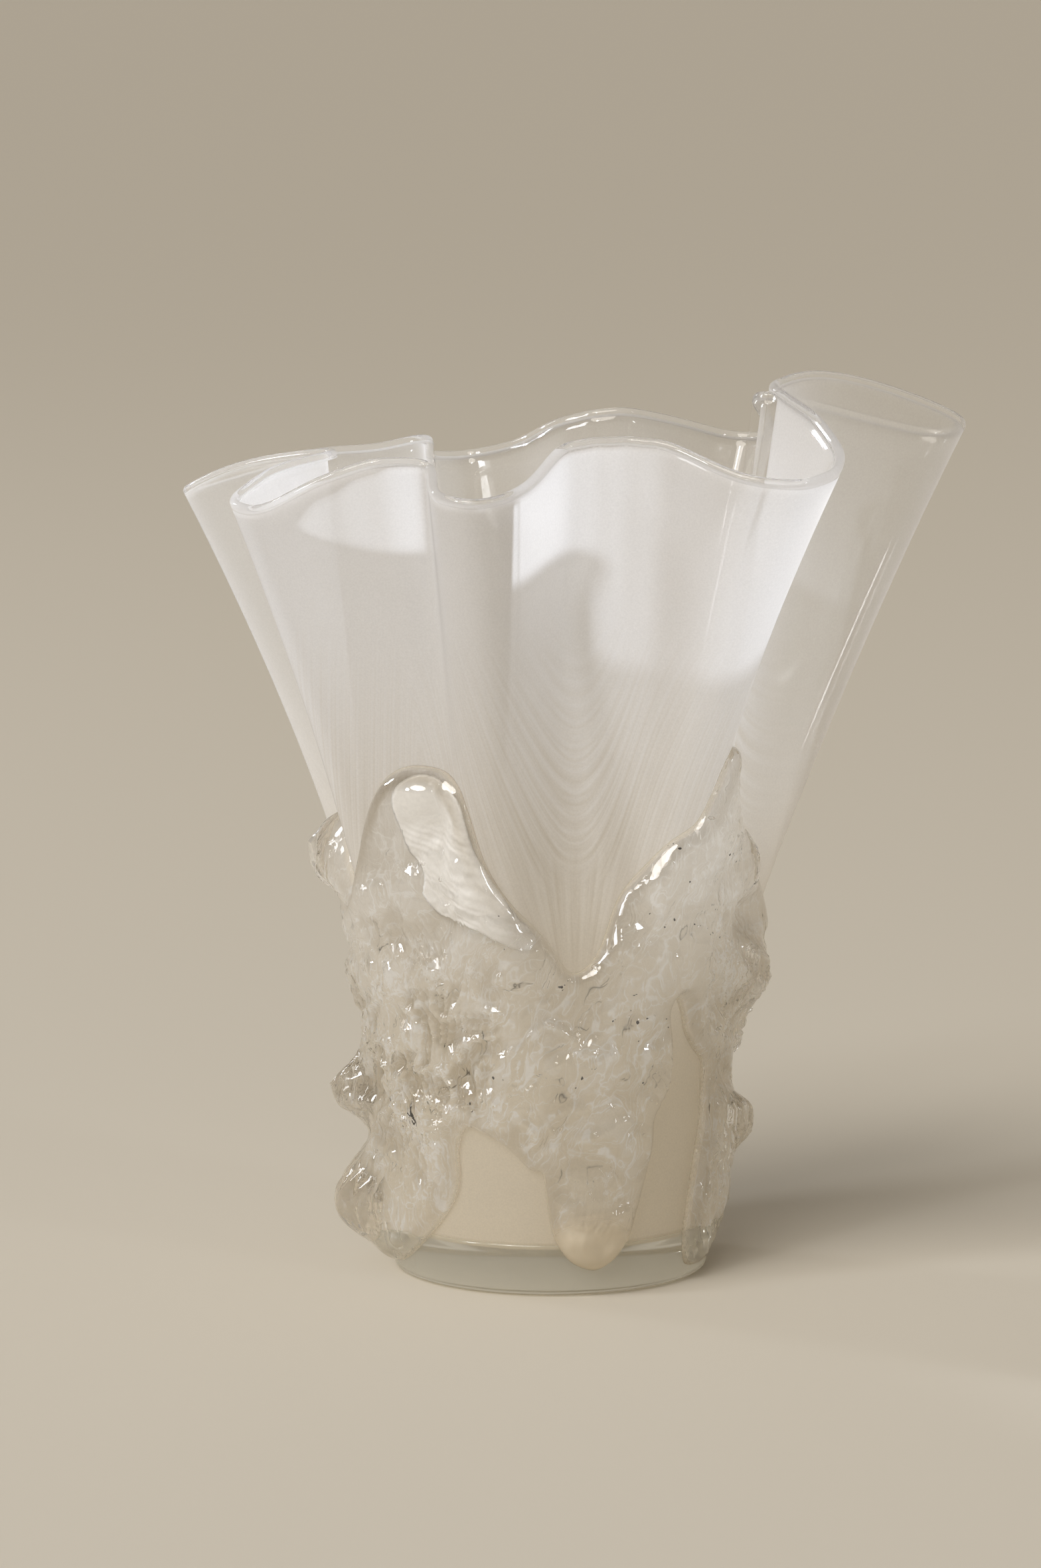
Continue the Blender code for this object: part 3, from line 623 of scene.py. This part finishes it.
def collar_sheet():
    """Triangles of the collar's flat map, with the seam's two sides matching."""
    bottom, top = (edge_line(points, EDGE_STEP) for points in (COLLAR_BOTTOM, COLLAR_TOP))
    tree = edge_tree([edge_line(points, FINE_EDGE_STEP) for points in (COLLAR_BOTTOM, COLLAR_TOP)])
    seam = np.arange(bottom[0, 1], top[0, 1], EDGE_STEP)[1:]
    seam = seam[seam < top[0, 1] - EDGE_STEP / 2]
    right = [(top[-1, 0], z) for z in seam]
    left = [(top[0, 0], z) for z in seam[::-1]]
    outline = [*map(tuple, bottom), *right, *map(tuple, top[::-1]), *left]
    low, high = np.min(outline, 0), np.max(outline, 0)
    row = COLLAR_STEP * math.sqrt(0.75)
    rows, columns = int((high[1] - low[1]) / row), int((high[0] - low[0]) / COLLAR_STEP)
    index = np.arange(rows * columns)
    grid = np.stack([low[0] + (index % columns + 0.5 * (index // columns % 2) + 0.25) / columns * (high[0] - low[0]),
                     low[1] + (index // columns + 0.5) * row], -1)
    off_seam = high[0] - 0.4 * COLLAR_STEP
    grid = grid[(edge_distances(tree, grid) > EDGE_ROWS[-1] + 0.5 * COLLAR_STEP) & (abs(grid[:, 0]) < off_seam)]
    beside = []
    for line, side in ((bottom, 1), (top, -1)):
        for distance in EDGE_ROWS:
            spots = offset_row(line, side, distance)
            clear = edge_distances(tree, spots) > 0.92 * distance
            beside.append(spots[(abs(spots[:, 0]) < off_seam) & clear])
    flat, corners = triangulate(outline, np.concatenate([*beside, grid]))
    owners = np.arange(len(flat))
    at_seam = abs(flat[:, 0]).max() - 1e-6
    left, right = (np.flatnonzero(side * flat[:, 0] > at_seam) for side in (-1, 1))
    owners[right[np.argsort(flat[right, 1])]] = left[np.argsort(flat[left, 1])]
    return tree, (flat, corners, owners, edge_distances(tree, flat))


def round_spot(x, z):
    """Point on a plain cylinder for a point of the flat map, so that noise has no seam."""
    return Vector((MAP_RADIUS * math.cos(x / MAP_RADIUS), MAP_RADIUS * math.sin(x / MAP_RADIUS), z))


def beside_angle(flat, angle, height, spread, power=2.0):
    """Bell-shaped weight round one place of the flat map, with a flatter top for a higher power."""
    off = turn_from(flat[:, 0] / MAP_RADIUS, angle)
    return np.exp(-(np.hypot(off * MAP_RADIUS, flat[:, 1] - height) / spread) ** power)


def collar_roughness(flat):
    """How wrinkled the collar is: strongest at the front's left, less so at its right."""
    rough = np.full(len(flat), MEAN_ROUGHNESS)
    for *place, change in ROUGH_PLACES:
        rough += change * beside_angle(flat, *place)
    for place in SMOOTH_PLACES:
        rough *= 1 - 0.9 * beside_angle(flat, *place)
    return np.clip(rough, 0.05, 1.2)


def collar_milk(flat, edge):
    """Share of milky glass in the collar: a thin pale line along its edge and a cream drop over the foot."""
    line = 1 - smooth_step(edge, 0.0001, 0.0007)
    drop = smooth_step(beside_angle(flat, *DROP), 0.35, 0.75)
    return np.clip(0.40 * line * (1 - drop) + 0.90 * drop, 0, 1)


def collar_painted_shade(flat, edge):
    """Painted shade that the collar's tint lays over what lies under it: in its creases, and beside its thick rounded
    edges.
    """
    crease = 1 - smooth_step(collar_relief(flat), -0.0016, 0.0003)
    thick = 0.35 + 0.65 * beside_angle(flat, -130, 0.176, 0.022)
    beside = thick * np.exp(-((edge - 0.0026) / 0.0020) ** 2)
    uneven = np.clip(collar_roughness(flat) - 0.25, 0, 1)
    return np.clip(0.80 * uneven * crease * smooth_step(edge, 0.002, 0.006) + beside, 0, 1)


def collar_relief(flat):
    """Ripples, flutes and wrinkles of the collar, as extra thickness."""
    relief = np.zeros(len(flat))
    bend = np.array([noise.noise(round_spot(x, z) / BEND_SIZE) for x, z in flat]) * BEND_REACH
    for angle, height, spread, step, depth, lean in FLUTES:
        run = flat[:, 0] + lean * flat[:, 1] + bend
        relief += depth * beside_angle(flat, angle, height, spread) * np.sin(2 * math.pi * run / step)
    rough = collar_roughness(flat)
    for i, (x, z) in enumerate(flat):
        spot = round_spot(x, z)
        relief[i] += sum(high * 2 * noise.noise(spot / size) for size, high in RIPPLES)
        bent = spot + noise.noise_vector(spot / WARP_SIZE) * WARP_REACH
        ridge = 1 - abs(2 * noise.noise(bent / RIDGE_SIZE + Vector((7, 3, 1))))
        drawn = Vector((bent.x / FLUTE_SIZE, bent.y / FLUTE_SIZE, bent.z / FLUTE_LENGTH))
        flute = 1 - abs(2 * noise.noise(drawn))
        pit = noise.noise(bent / PIT_SIZE + Vector((3, 9, 5)))
        relief[i] += rough[i] * (RIDGE_HEIGHT * (ridge ** 2 - 0.4) + FLUTE_HEIGHT * (flute ** 2 - 0.4)
                                 + PIT_HEIGHT * pit)
    return relief


def collar_thickness(flat, edge):
    """Thickness of the collar: rounded and calm at its edges, lumpy and wrinkled between."""
    body = COLLAR_THICKNESS + collar_relief(flat) * (0.3 + 0.7 * smooth_step(edge, 0.001, 0.006))
    for angle, height, extra, spread in COLLAR_LUMPS:
        body += extra * beside_angle(flat, angle, height, LUMP_SPREAD * spread, LUMP_POWER)
    depth = np.clip(edge / COLLAR_ROUNDING, 0, 1)
    return np.maximum(body, 0.0018) * np.sqrt(1 - (1 - depth) ** 2)


def on_skin(flat):
    """Points and normals of the body under points of the flat map."""
    theta, height = flat[:, 0] / MAP_RADIUS, flat[:, 1]
    point, normal, _ = skin_frame(theta, level_of(theta, height))
    return point, normal


def build_collar(glass, sheet):
    """Clear collar: a ragged, rough band of hot glass fused round the lower body."""
    flat, corners, owners, edge = sheet
    point, normal = on_skin(flat)
    front = point + normal * collar_thickness(flat, edge)[:, None]
    back = point - normal * FUSED
    triangles = owners[corners]
    sides = {(a, b) for trio in triangles.tolist() for a, b in zip(trio, trio[1:] + trio[:1])}
    count = len(flat)
    faces = triangles.tolist() + (triangles[:, ::-1] + count).tolist()
    faces += [(b, a, a + count, b + count) for a, b in sorted(sides) if (b, a) not in sides]
    used, faces_flat = np.unique(np.concatenate([np.ravel(f) for f in faces]), return_inverse=True)
    points = np.concatenate([front, back])[used]
    starts = np.cumsum([0] + [len(f) for f in faces])
    faces = [faces_flat[a:b].tolist() for a, b in zip(starts, starts[1:])]
    piece = add_piece("collar_glass_band", points, faces, [glass], ["clear_collar"])
    add_attribute(piece, "rough", np.tile(collar_roughness(flat), 2)[used])
    add_attribute(piece, "milk", np.tile(collar_milk(flat, edge), 2)[used])
    # Painted shade in the collar's creases and beside its thick edges
    add_attribute(piece, "painted_shade", np.tile(collar_painted_shade(flat, edge), 2)[used])


def to_map(spots):
    """Places given as angle and height, on the flat map."""
    spots = np.asarray(spots, float)
    return np.stack([np.radians(spots[:, 0]) * MAP_RADIUS, spots[:, 1]], -1)


def build_tongue(milk, tree):
    """Milky tongue inside the collar's left peak, finely wrinkled, thin at its edge."""
    outline = closed_spline(to_map(TONGUE), 8)
    rim_tree = flat_tree(outline)
    low, high = outline.min(0), outline.max(0)
    across, up = np.meshgrid(np.arange(low[0], high[0], TONGUE_STEP), np.arange(low[1], high[1], TONGUE_STEP))
    grid = np.stack([across.ravel(), up.ravel()], -1)
    flat, corners = triangulate(outline, grid[edge_distances(rim_tree, grid) > TONGUE_STEP])
    rim = edge_distances(rim_tree, flat)
    body = collar_thickness(flat, edge_distances(tree, flat))
    half = TONGUE_THICKNESS / 2 * np.sqrt(1 - (1 - np.clip(rim / 0.0016, 0, 1)) ** 2)
    wrinkle = np.zeros(len(flat))
    for i, (x, z) in enumerate(flat):
        spot = round_spot(x, z)
        bent = spot + noise.noise_vector(spot / 0.011) * 0.004
        lines = math.sin((bent.z * 0.8 + (x - low[0]) * 0.55) / 0.00042)
        wrinkle[i] = 0.00010 * lines + 0.0006 * noise.noise(bent / 0.006)
    wrinkle *= smooth_step(high[1] - flat[:, 1], 0.010, 0.024) * smooth_step(rim, 0, 0.002)
    point, normal = on_skin(flat)
    middle = TONGUE_DEPTH * body + wrinkle
    front, back = (point + normal * (middle + side * half)[:, None] for side in (1, -1))
    count = len(flat)
    rims = rim < 1e-6
    owners = np.arange(2 * count)
    owners[count:][rims] = np.flatnonzero(rims)
    triangles = np.concatenate([corners, owners[corners[:, ::-1] + count]])
    used, triangles = np.unique(triangles, return_inverse=True)
    points = np.concatenate([front, back])[used]
    piece = add_piece("milky_tongue", points, triangles.reshape(-1, 3).tolist(), [milk])
    along = flat[:, 1] - 0.0009 * np.degrees(flat[:, 0] / MAP_RADIUS)
    fade = 1 - smooth_step(along, 0.2080, 0.2480)
    fade = np.maximum(fade, 0.75 * (1 - smooth_step(rim, 0.0, 0.0025)) * smooth_step(flat[:, 0], -0.134, -0.126))
    add_attribute(piece, "fade", np.tile(fade, 2)[used])


def small_balls(name, spots, sizes, depth, squash, material, tree):
    """Small round bodies at a share of the collar's depth, as one piece."""
    flat = to_map(spots)
    body = collar_thickness(flat, edge_distances(tree, flat))
    centre, normal = on_skin(flat)
    template = bmesh.new()
    bmesh.ops.create_icosphere(template, subdivisions=2, radius=1.0)
    ball = np.array([v.co for v in template.verts])
    corners = np.array([[v.index for v in face.verts] for face in template.faces])
    template.free()
    points, faces = [], []
    for i, size in enumerate(sizes):
        lean = np.array([noise.noise(Vector((i * 3.1, k, 0.5))) for k in range(3)])
        shape = ball * (1 + lean * squash) * size
        points.append(shape + centre[i] + normal[i] * body[i] * depth)
        faces.append(corners + i * len(ball))
    add_piece(name, np.concatenate(points), np.concatenate(faces).tolist(), [material])


# Materials

class Graph:
    """Short way to add and link the nodes of one material."""

    def __init__(self, name):
        self.material = bpy.data.materials.new(name)
        self.material.use_nodes = True
        self.tree = self.material.node_tree
        self.tree.nodes.clear()
        self.output = self.tree.nodes.new("ShaderNodeOutputMaterial")

    def node(self, kind, settings=(), **inputs):
        """Adds a node; an input is a number, a colour or another node's socket."""
        made = self.tree.nodes.new(kind)
        for name, value in dict(settings).items():
            setattr(made, name, value)
        for name, value in inputs.items():
            key = int(name[1:]) if name[0] == "_" else name.replace("_", " ")
            if isinstance(value, bpy.types.NodeSocket):
                self.tree.links.new(value, made.inputs[key])
            else:
                made.inputs[key].default_value = value
        return made

    def math(self, operation, first, second=0.0, third=0.0):
        """One Math node's output."""
        return self.node("ShaderNodeMath", {"operation": operation}, _0=first, _1=second, _2=third).outputs[0]

    def times(self, first, second):
        """Product of two values."""
        return self.math("MULTIPLY", first, second)

    def mix(self, share, first, second):
        """One Mix Shader's output."""
        return self.node("ShaderNodeMixShader", _0=share, _1=first, _2=second).outputs[0]

    def blend(self, share, first, second):
        """Mix of two colours."""
        return self.node("ShaderNodeMix", {"data_type": "RGBA"}, _0=share, _6=first, _7=second).outputs[2]

    def attribute(self, name):
        """Number that add_attribute stored on the mesh."""
        return self.node("ShaderNodeAttribute", {"attribute_name": name}).outputs["Fac"]

    def place(self):
        """Place of the shaded point in its piece."""
        return self.node("ShaderNodeTexCoord").outputs["Object"]

    def cloud(self, place, scale, detail, roughness=0.5):
        """Soft noise from 0 to 1."""
        made = self.node("ShaderNodeTexNoise", Vector=place, Scale=scale, Detail=detail, Roughness=roughness)
        return made.outputs["Fac"]

    def ramp(self, value, low, high, to_low=0.0, to_high=1.0, kind="LINEAR"):
        """Value brought from one range to another and held at its ends."""
        return self.node("ShaderNodeMapRange", {"interpolation_type": kind}, Value=value, From_Min=low, From_Max=high,
                         To_Min=to_low, To_Max=to_high).outputs[0]

    def clear(self, color=(1, 1, 1)):
        """Shader that lets light straight through."""
        return self.node("ShaderNodeBsdfTransparent", Color=(*color, 1)).outputs[0]

    def finish(self, surface):
        """Sends a shader to the material's output."""
        self.tree.links.new(surface, self.output.inputs["Surface"])
        return self.material


def lit_through(graph, body, color):
    """Glass that lets lamps reach what lies behind it."""
    path = graph.node("ShaderNodeLightPath")
    unseen = graph.math("MAXIMUM", path.outputs["Is Shadow Ray"], path.outputs["Is Diffuse Ray"])
    return graph.mix(unseen, body, graph.clear(color))


def white_body(graph, color, glow, roughness=0.12):
    """Milk-white glass that scatters light back and through."""
    body = graph.node("ShaderNodeBsdfPrincipled", Base_Color=color, Roughness=roughness, IOR=GLASS_IOR)
    passed = graph.node("ShaderNodeBsdfTranslucent", Color=color)
    return graph.mix(glow, body.outputs[0], passed.outputs[0])


def clear_glass(name, color, passed, milk_color, milk):
    """Smooth clear glass with a share of milk in it."""
    graph = Graph(name)
    body = graph.node("ShaderNodeBsdfGlass", Color=(*color, 1), Roughness=0.0, IOR=GLASS_IOR).outputs[0]
    return graph.finish(graph.mix(milk, lit_through(graph, body, passed), white_body(graph, (*milk_color, 1), 0.5)))


def collar_glass():
    """The collar: clear wavy glass with milky places."""
    graph = Graph("collar_glass")
    # Painted shade: the glass tint darkens in the collar's creases and beside its thick edges
    tint = graph.blend(graph.attribute("painted_shade"), (1, 1, 1, 1), (*PAINTED_SHADE_TINT, 1))
    body = graph.node("ShaderNodeBsdfGlass", Color=tint, Roughness=0.0, IOR=GLASS_IOR, Normal=fine_waves(graph, 0.0010))
    wet = graph.node("ShaderNodeBsdfGlossy", Roughness=0.02, Color=(1, 1, 1, 1))
    glass = graph.mix(WET_GLOSS, body.outputs[0], wet.outputs[0])
    milk = white_body(graph, (0.78, 0.70, 0.56, 1), 0.3)
    return graph.finish(graph.mix(graph.attribute("milk"), lit_through(graph, glass, (0.96, 0.955, 0.945)), milk))


def folded_noise(graph, place, scale, power, detail=1.0):
    """Thin winding lines where a noise crosses its middle."""
    off = graph.math("ABSOLUTE", graph.math("MULTIPLY_ADD", graph.cloud(place, scale, detail), 2.0, -1.0))
    return graph.math("POWER", graph.math("SUBTRACT", 1.0, off), power)


def fine_waves(graph, relief):
    """Normal with the small ridges and dimples of glass that was torn and flowed."""
    place = graph.place()
    long = graph.node("ShaderNodeMapping", Vector=place, Scale=(1.0, 1.0, 0.35)).outputs[0]
    waves = graph.math("MULTIPLY_ADD", graph.cloud(place, 320.0, 1.0), 0.6, folded_noise(graph, long, 150.0, 5.0))
    height = graph.times(graph.attribute("rough"), waves)
    return graph.node("ShaderNodeBump", Height=height, Strength=1.0, Distance=relief).outputs[0]


def drawn_noise(graph, across, fineness, along, stretch):
    """Noise that is fine across the streaks and drawn out along them."""
    lane = graph.node("ShaderNodeCombineXYZ", X=graph.times(across, fineness), Y=graph.times(along, stretch))
    return graph.cloud(lane.outputs[0], 1.0, 5.0, 0.62)


def pulled_streaks(graph, height, thin):
    """Share of the opal's streaks: they gather at the notches low down and loop over them higher up."""
    flow = graph.attribute("flow")
    lanes = drawn_noise(graph, flow, 34.0, height, 9.0)
    arches = drawn_noise(graph, graph.attribute("loop"), 260.0, flow, 5.0)
    looped = graph.ramp(height, 0.135, 0.165, kind="SMOOTHSTEP")
    streaks = graph.node("ShaderNodeMix", _0=looped, _2=lanes, _3=arches).outputs[0]
    streak = graph.ramp(streaks, 0.40, 0.66, to_high=0.50)
    near_notch = graph.ramp(flow, 0.45, 0.12, to_low=0.08)
    below_rim = graph.ramp(height, 0.240, 0.17)
    above_foot = graph.ramp(height, 0.085, 0.125)
    dense = graph.math("MULTIPLY_ADD", thin, -0.85, 1.0)
    for share in (near_notch, below_rim, above_foot, dense):
        streak = graph.times(streak, share)
    return streak


def opal_glass():
    """Milky opal: scatters light back and through, lets some straight through high up, and has a glossy skin."""
    graph = Graph("opal_glass")
    place = graph.place()
    height = graph.node("ShaderNodeSeparateXYZ", Vector=place).outputs["Z"]
    thin = graph.attribute("thin")
    tone = graph.blend(graph.ramp(height, 0.06, 0.24, kind="SMOOTHSTEP"), (*OPAL_LOW, 1), (*OPAL_HIGH, 1))
    tone = graph.blend(pulled_streaks(graph, height, thin), tone, (*OPAL_STREAK, 1))
    # Painted light and painted shade: the collar's caustic patches and lines, drawn into the opal's colour
    bright, dark = painted_caustics(graph, place)
    tone = graph.blend(bright, tone, (*PAINTED_CAUSTIC_LIGHT, 1))
    tone = graph.blend(dark, tone, (*PAINTED_CAUSTIC_SHADE, 1))
    grain = graph.ramp(graph.cloud(place, 1500.0, 2.0), 0.0, 1.0, 0.91, 1.07)
    shade = graph.node("ShaderNodeVectorMath", {"operation": "SCALE"}, _0=tone, Scale=grain).outputs[0]
    most = graph.math("MULTIPLY_ADD", thin, SEE_THROUGH_BACK - SEE_THROUGH_FRONT, SEE_THROUGH_FRONT)
    risen = graph.ramp(height, 0.12, 0.22, kind="SMOOTHSTEP")
    grazing = graph.node("ShaderNodeLayerWeight", Blend=0.3).outputs["Facing"]
    share = graph.times(graph.times(risen, most), graph.math("SUBTRACT", 1.0, grazing))
    return graph.finish(graph.mix(share, white_body(graph, shade, GLOW, 0.06), graph.clear((0.97, 0.96, 0.93))))


def painted_caustics(graph, place):
    """Painted light and shade of the rough collar's caustics on the opal: pale patches and lines, and dark lines."""
    under = graph.attribute("under")
    swirl = graph.node("ShaderNodeTexNoise", Vector=place, Scale=55.0, Detail=1.0).outputs["Color"]
    push = graph.node("ShaderNodeVectorMath", {"operation": "SCALE"}, _0=swirl, Scale=0.024).outputs[0]
    swept = graph.node("ShaderNodeMapping", {"vector_type": "TEXTURE"}, Vector=place, Rotation=(0, 0.6, 0),
                       Scale=(0.8, 0.8, 1.8)).outputs[0]
    bent = graph.node("ShaderNodeVectorMath", {"operation": "ADD"}, _0=swept, _1=push).outputs[0]
    cloud = graph.cloud(bent, 75.0, 4.0, 0.62)
    patch = graph.ramp(cloud, 0.48, 0.62, kind="SMOOTHSTEP")
    lines = graph.math("ADD", folded_noise(graph, bent, 80.0, 50.0), folded_noise(graph, bent, 170.0, 40.0))
    share = graph.math("MULTIPLY_ADD", graph.times(lines, 2.4), graph.math("ADD", patch, 0.35),
                       graph.times(patch, 0.48))
    bright = graph.node("ShaderNodeMath", {"operation": "MULTIPLY", "use_clamp": True}, _0=share, _1=under).outputs[0]
    rare = graph.ramp(cloud, 0.47, 0.40)
    dark = graph.times(folded_noise(graph, bent, 46.0, 130.0, 2.0), graph.times(rare, under))
    return bright, dark


def milky_glass():
    """Trapped milk-white glass, clearer where it fades out."""
    graph = Graph("milky_glass")
    tone = graph.ramp(graph.cloud(graph.place(), 900.0, 3.0), 0.3, 0.7, 0.90, 0.98)
    shade = graph.node("ShaderNodeCombineXYZ", X=tone, Y=graph.times(tone, 0.985), Z=graph.times(tone, 0.96))
    faded = graph.math("MULTIPLY_ADD", graph.attribute("fade"), 0.80, 0.10)
    return graph.finish(graph.mix(faded, white_body(graph, shade.outputs[0], 0.10, 0.35), graph.clear()))


def air():
    """Air trapped in glass."""
    graph = Graph("air_bubble")
    body = graph.node("ShaderNodeBsdfGlass", Color=(1, 1, 1, 1), Roughness=0.0, IOR=1 / GLASS_IOR).outputs[0]
    return graph.finish(lit_through(graph, body, (1, 1, 1)))


def hollow_gloss():
    """Skin of the hollow: clear, with only a reflection."""
    graph = Graph("hollow_gloss")
    sheen = graph.node("ShaderNodeBsdfGlossy", Roughness=0.05, Color=(1, 1, 1, 1))
    edge = graph.node("ShaderNodeFresnel", IOR=GLASS_IOR)
    behind = graph.node("ShaderNodeNewGeometry").outputs["Backfacing"]
    share = graph.times(edge.outputs[0], graph.math("SUBTRACT", 1.0, behind))
    return graph.finish(graph.mix(share, graph.clear(), sheen.outputs[0]))


def plain(name, color, roughness):
    """Opaque surface of one colour."""
    graph = Graph(name)
    paint = graph.node("ShaderNodeBsdfPrincipled", Base_Color=(*color, 1), Roughness=roughness)
    return graph.finish(paint.outputs[0])


# Stage, light and camera

def build_stage():
    """Plain pale floor that runs to the horizon."""
    corners = [(-1, -1), (1, -1), (1, 1), (-1, 1)]
    mesh = bpy.data.meshes.new("stage_floor")
    mesh.from_pydata([(x * STAGE_REACH, y * STAGE_REACH, -STAGE_GAP) for x, y in corners], [], [(0, 1, 2, 3)])
    mesh.materials.append(plain("stage_paint", STAGE_COLOR, 0.9))
    add_object("stage_floor", mesh)


def add_lamp(kind, name, turn, lift, distance, aim, power, color):
    """Lamp that faces a point from an angle round the axis and a height above the horizon."""
    turn, lift = math.radians(turn), math.radians(lift)
    toward = Vector((math.cos(turn) * math.cos(lift), math.sin(turn) * math.cos(lift), math.sin(lift)))
    lamp = bpy.data.lights.new(name, kind)
    lamp.energy = power
    lamp.color = color
    made = add_object(name, lamp)
    made.location = Vector(aim) + toward * distance
    made.rotation_euler = toward.to_track_quat("Z", "Y").to_euler()
    return lamp


def light_stage():
    """A narrow cool key from behind the left, small windows, a broad warm sun and a sky that is warm and dim."""
    key = add_lamp("SPOT", "key_lamp", KEY_TURN, KEY_LIFT, KEY_DISTANCE, KEY_AIM, KEY_POWER, KEY_COLOR)
    key.shadow_soft_size = KEY_SIZE / 2
    key.spot_size = 2 * math.atan(KEY_REACH / KEY_DISTANCE)
    key.spot_blend = KEY_BLEND
    for name, turn, lift, size, power in WINDOWS:
        window = add_lamp("AREA", name, turn, lift, WINDOW_DISTANCE, LAMP_AIM, power, WINDOW_COLOR)
        window.shape = "RECTANGLE"
        window.size, window.size_y = size, WINDOW_HEIGHT_SHARE * size
    sun = add_lamp("SUN", "broad_fill", SUN_TURN, SUN_LIFT, SUN_DISTANCE, LAMP_AIM, SUN_POWER, SUN_COLOR)
    sun.angle = SUN_SPREAD
    world = bpy.data.worlds.new("studio")
    world.use_nodes = True
    nodes, links = world.node_tree.nodes, world.node_tree.links
    background = nodes["Background"]
    background.inputs["Color"].default_value = (*SKY_COLOR, 1)
    height = nodes.new("ShaderNodeSeparateXYZ")
    links.new(nodes.new("ShaderNodeTexCoord").outputs["Generated"], height.inputs[0])
    ramp = nodes.new("ShaderNodeMapRange")
    ramp.interpolation_type = "SMOOTHSTEP"
    for socket, value in zip(("From Min", "From Max", "To Min", "To Max"), SKY_RAMP):
        ramp.inputs[socket].default_value = value
    links.new(height.outputs["Z"], ramp.inputs["Value"])
    links.new(ramp.outputs[0], background.inputs["Strength"])
    bpy.context.scene.world = world


def build_camera():
    """The photograph's camera."""
    data = bpy.data.cameras.new("camera")
    data.sensor_width = SENSOR
    data.lens = FOCAL_PX / IMAGE_HEIGHT_PX * SENSOR
    data.clip_end = 1000
    camera = add_object("camera", data)
    camera.location = (0, -CAMERA_DISTANCE, CAMERA_DISTANCE * math.tan(CAMERA_SLOPE))
    yaw = math.atan((AXIS_COLUMN_PX - CENTRE_COLUMN_PX) / FOCAL_PX)
    camera.rotation_euler = (math.pi / 2 - CAMERA_PITCH, 0, yaw)
    bpy.context.scene.camera = camera


bpy.context.scene.view_settings.view_transform = "Standard"
build_camera()
build_stage()
light_stage()
collar_edges, sheet = collar_sheet()
build_opal(opal_glass(), hollow_gloss(), sheet)
build_lip(clear_glass("lip_glass", (1, 1, 1), (0.97, 0.97, 0.97), (0.90, 0.89, 0.88), LIP_MILK))
build_foot(clear_glass("foot_glass", (0.99, 0.99, 0.96), (0.97, 0.97, 0.95), (0.86, 0.84, 0.76), FOOT_MILK))
build_collar(collar_glass(), sheet)
build_tongue(milky_glass(), collar_edges)
dark_speck_sizes = [DARK_SPECK_SIZE + DARK_SPECK_SIZE * abs(noise.noise(Vector((i * 1.7, 0.3, 4.0)))) * 2 for i in range(len(DARK_SPECKS))]
small_balls("dark_speck_balls", DARK_SPECKS, dark_speck_sizes, 0.35, 1.2, plain("dark_speck_material", DARK_SPECK_COLOR, 0.4), collar_edges)
small_balls("air_bubbles", [b[:2] for b in BUBBLES], [b[2] for b in BUBBLES], 0.5, 0.8, air(), collar_edges)
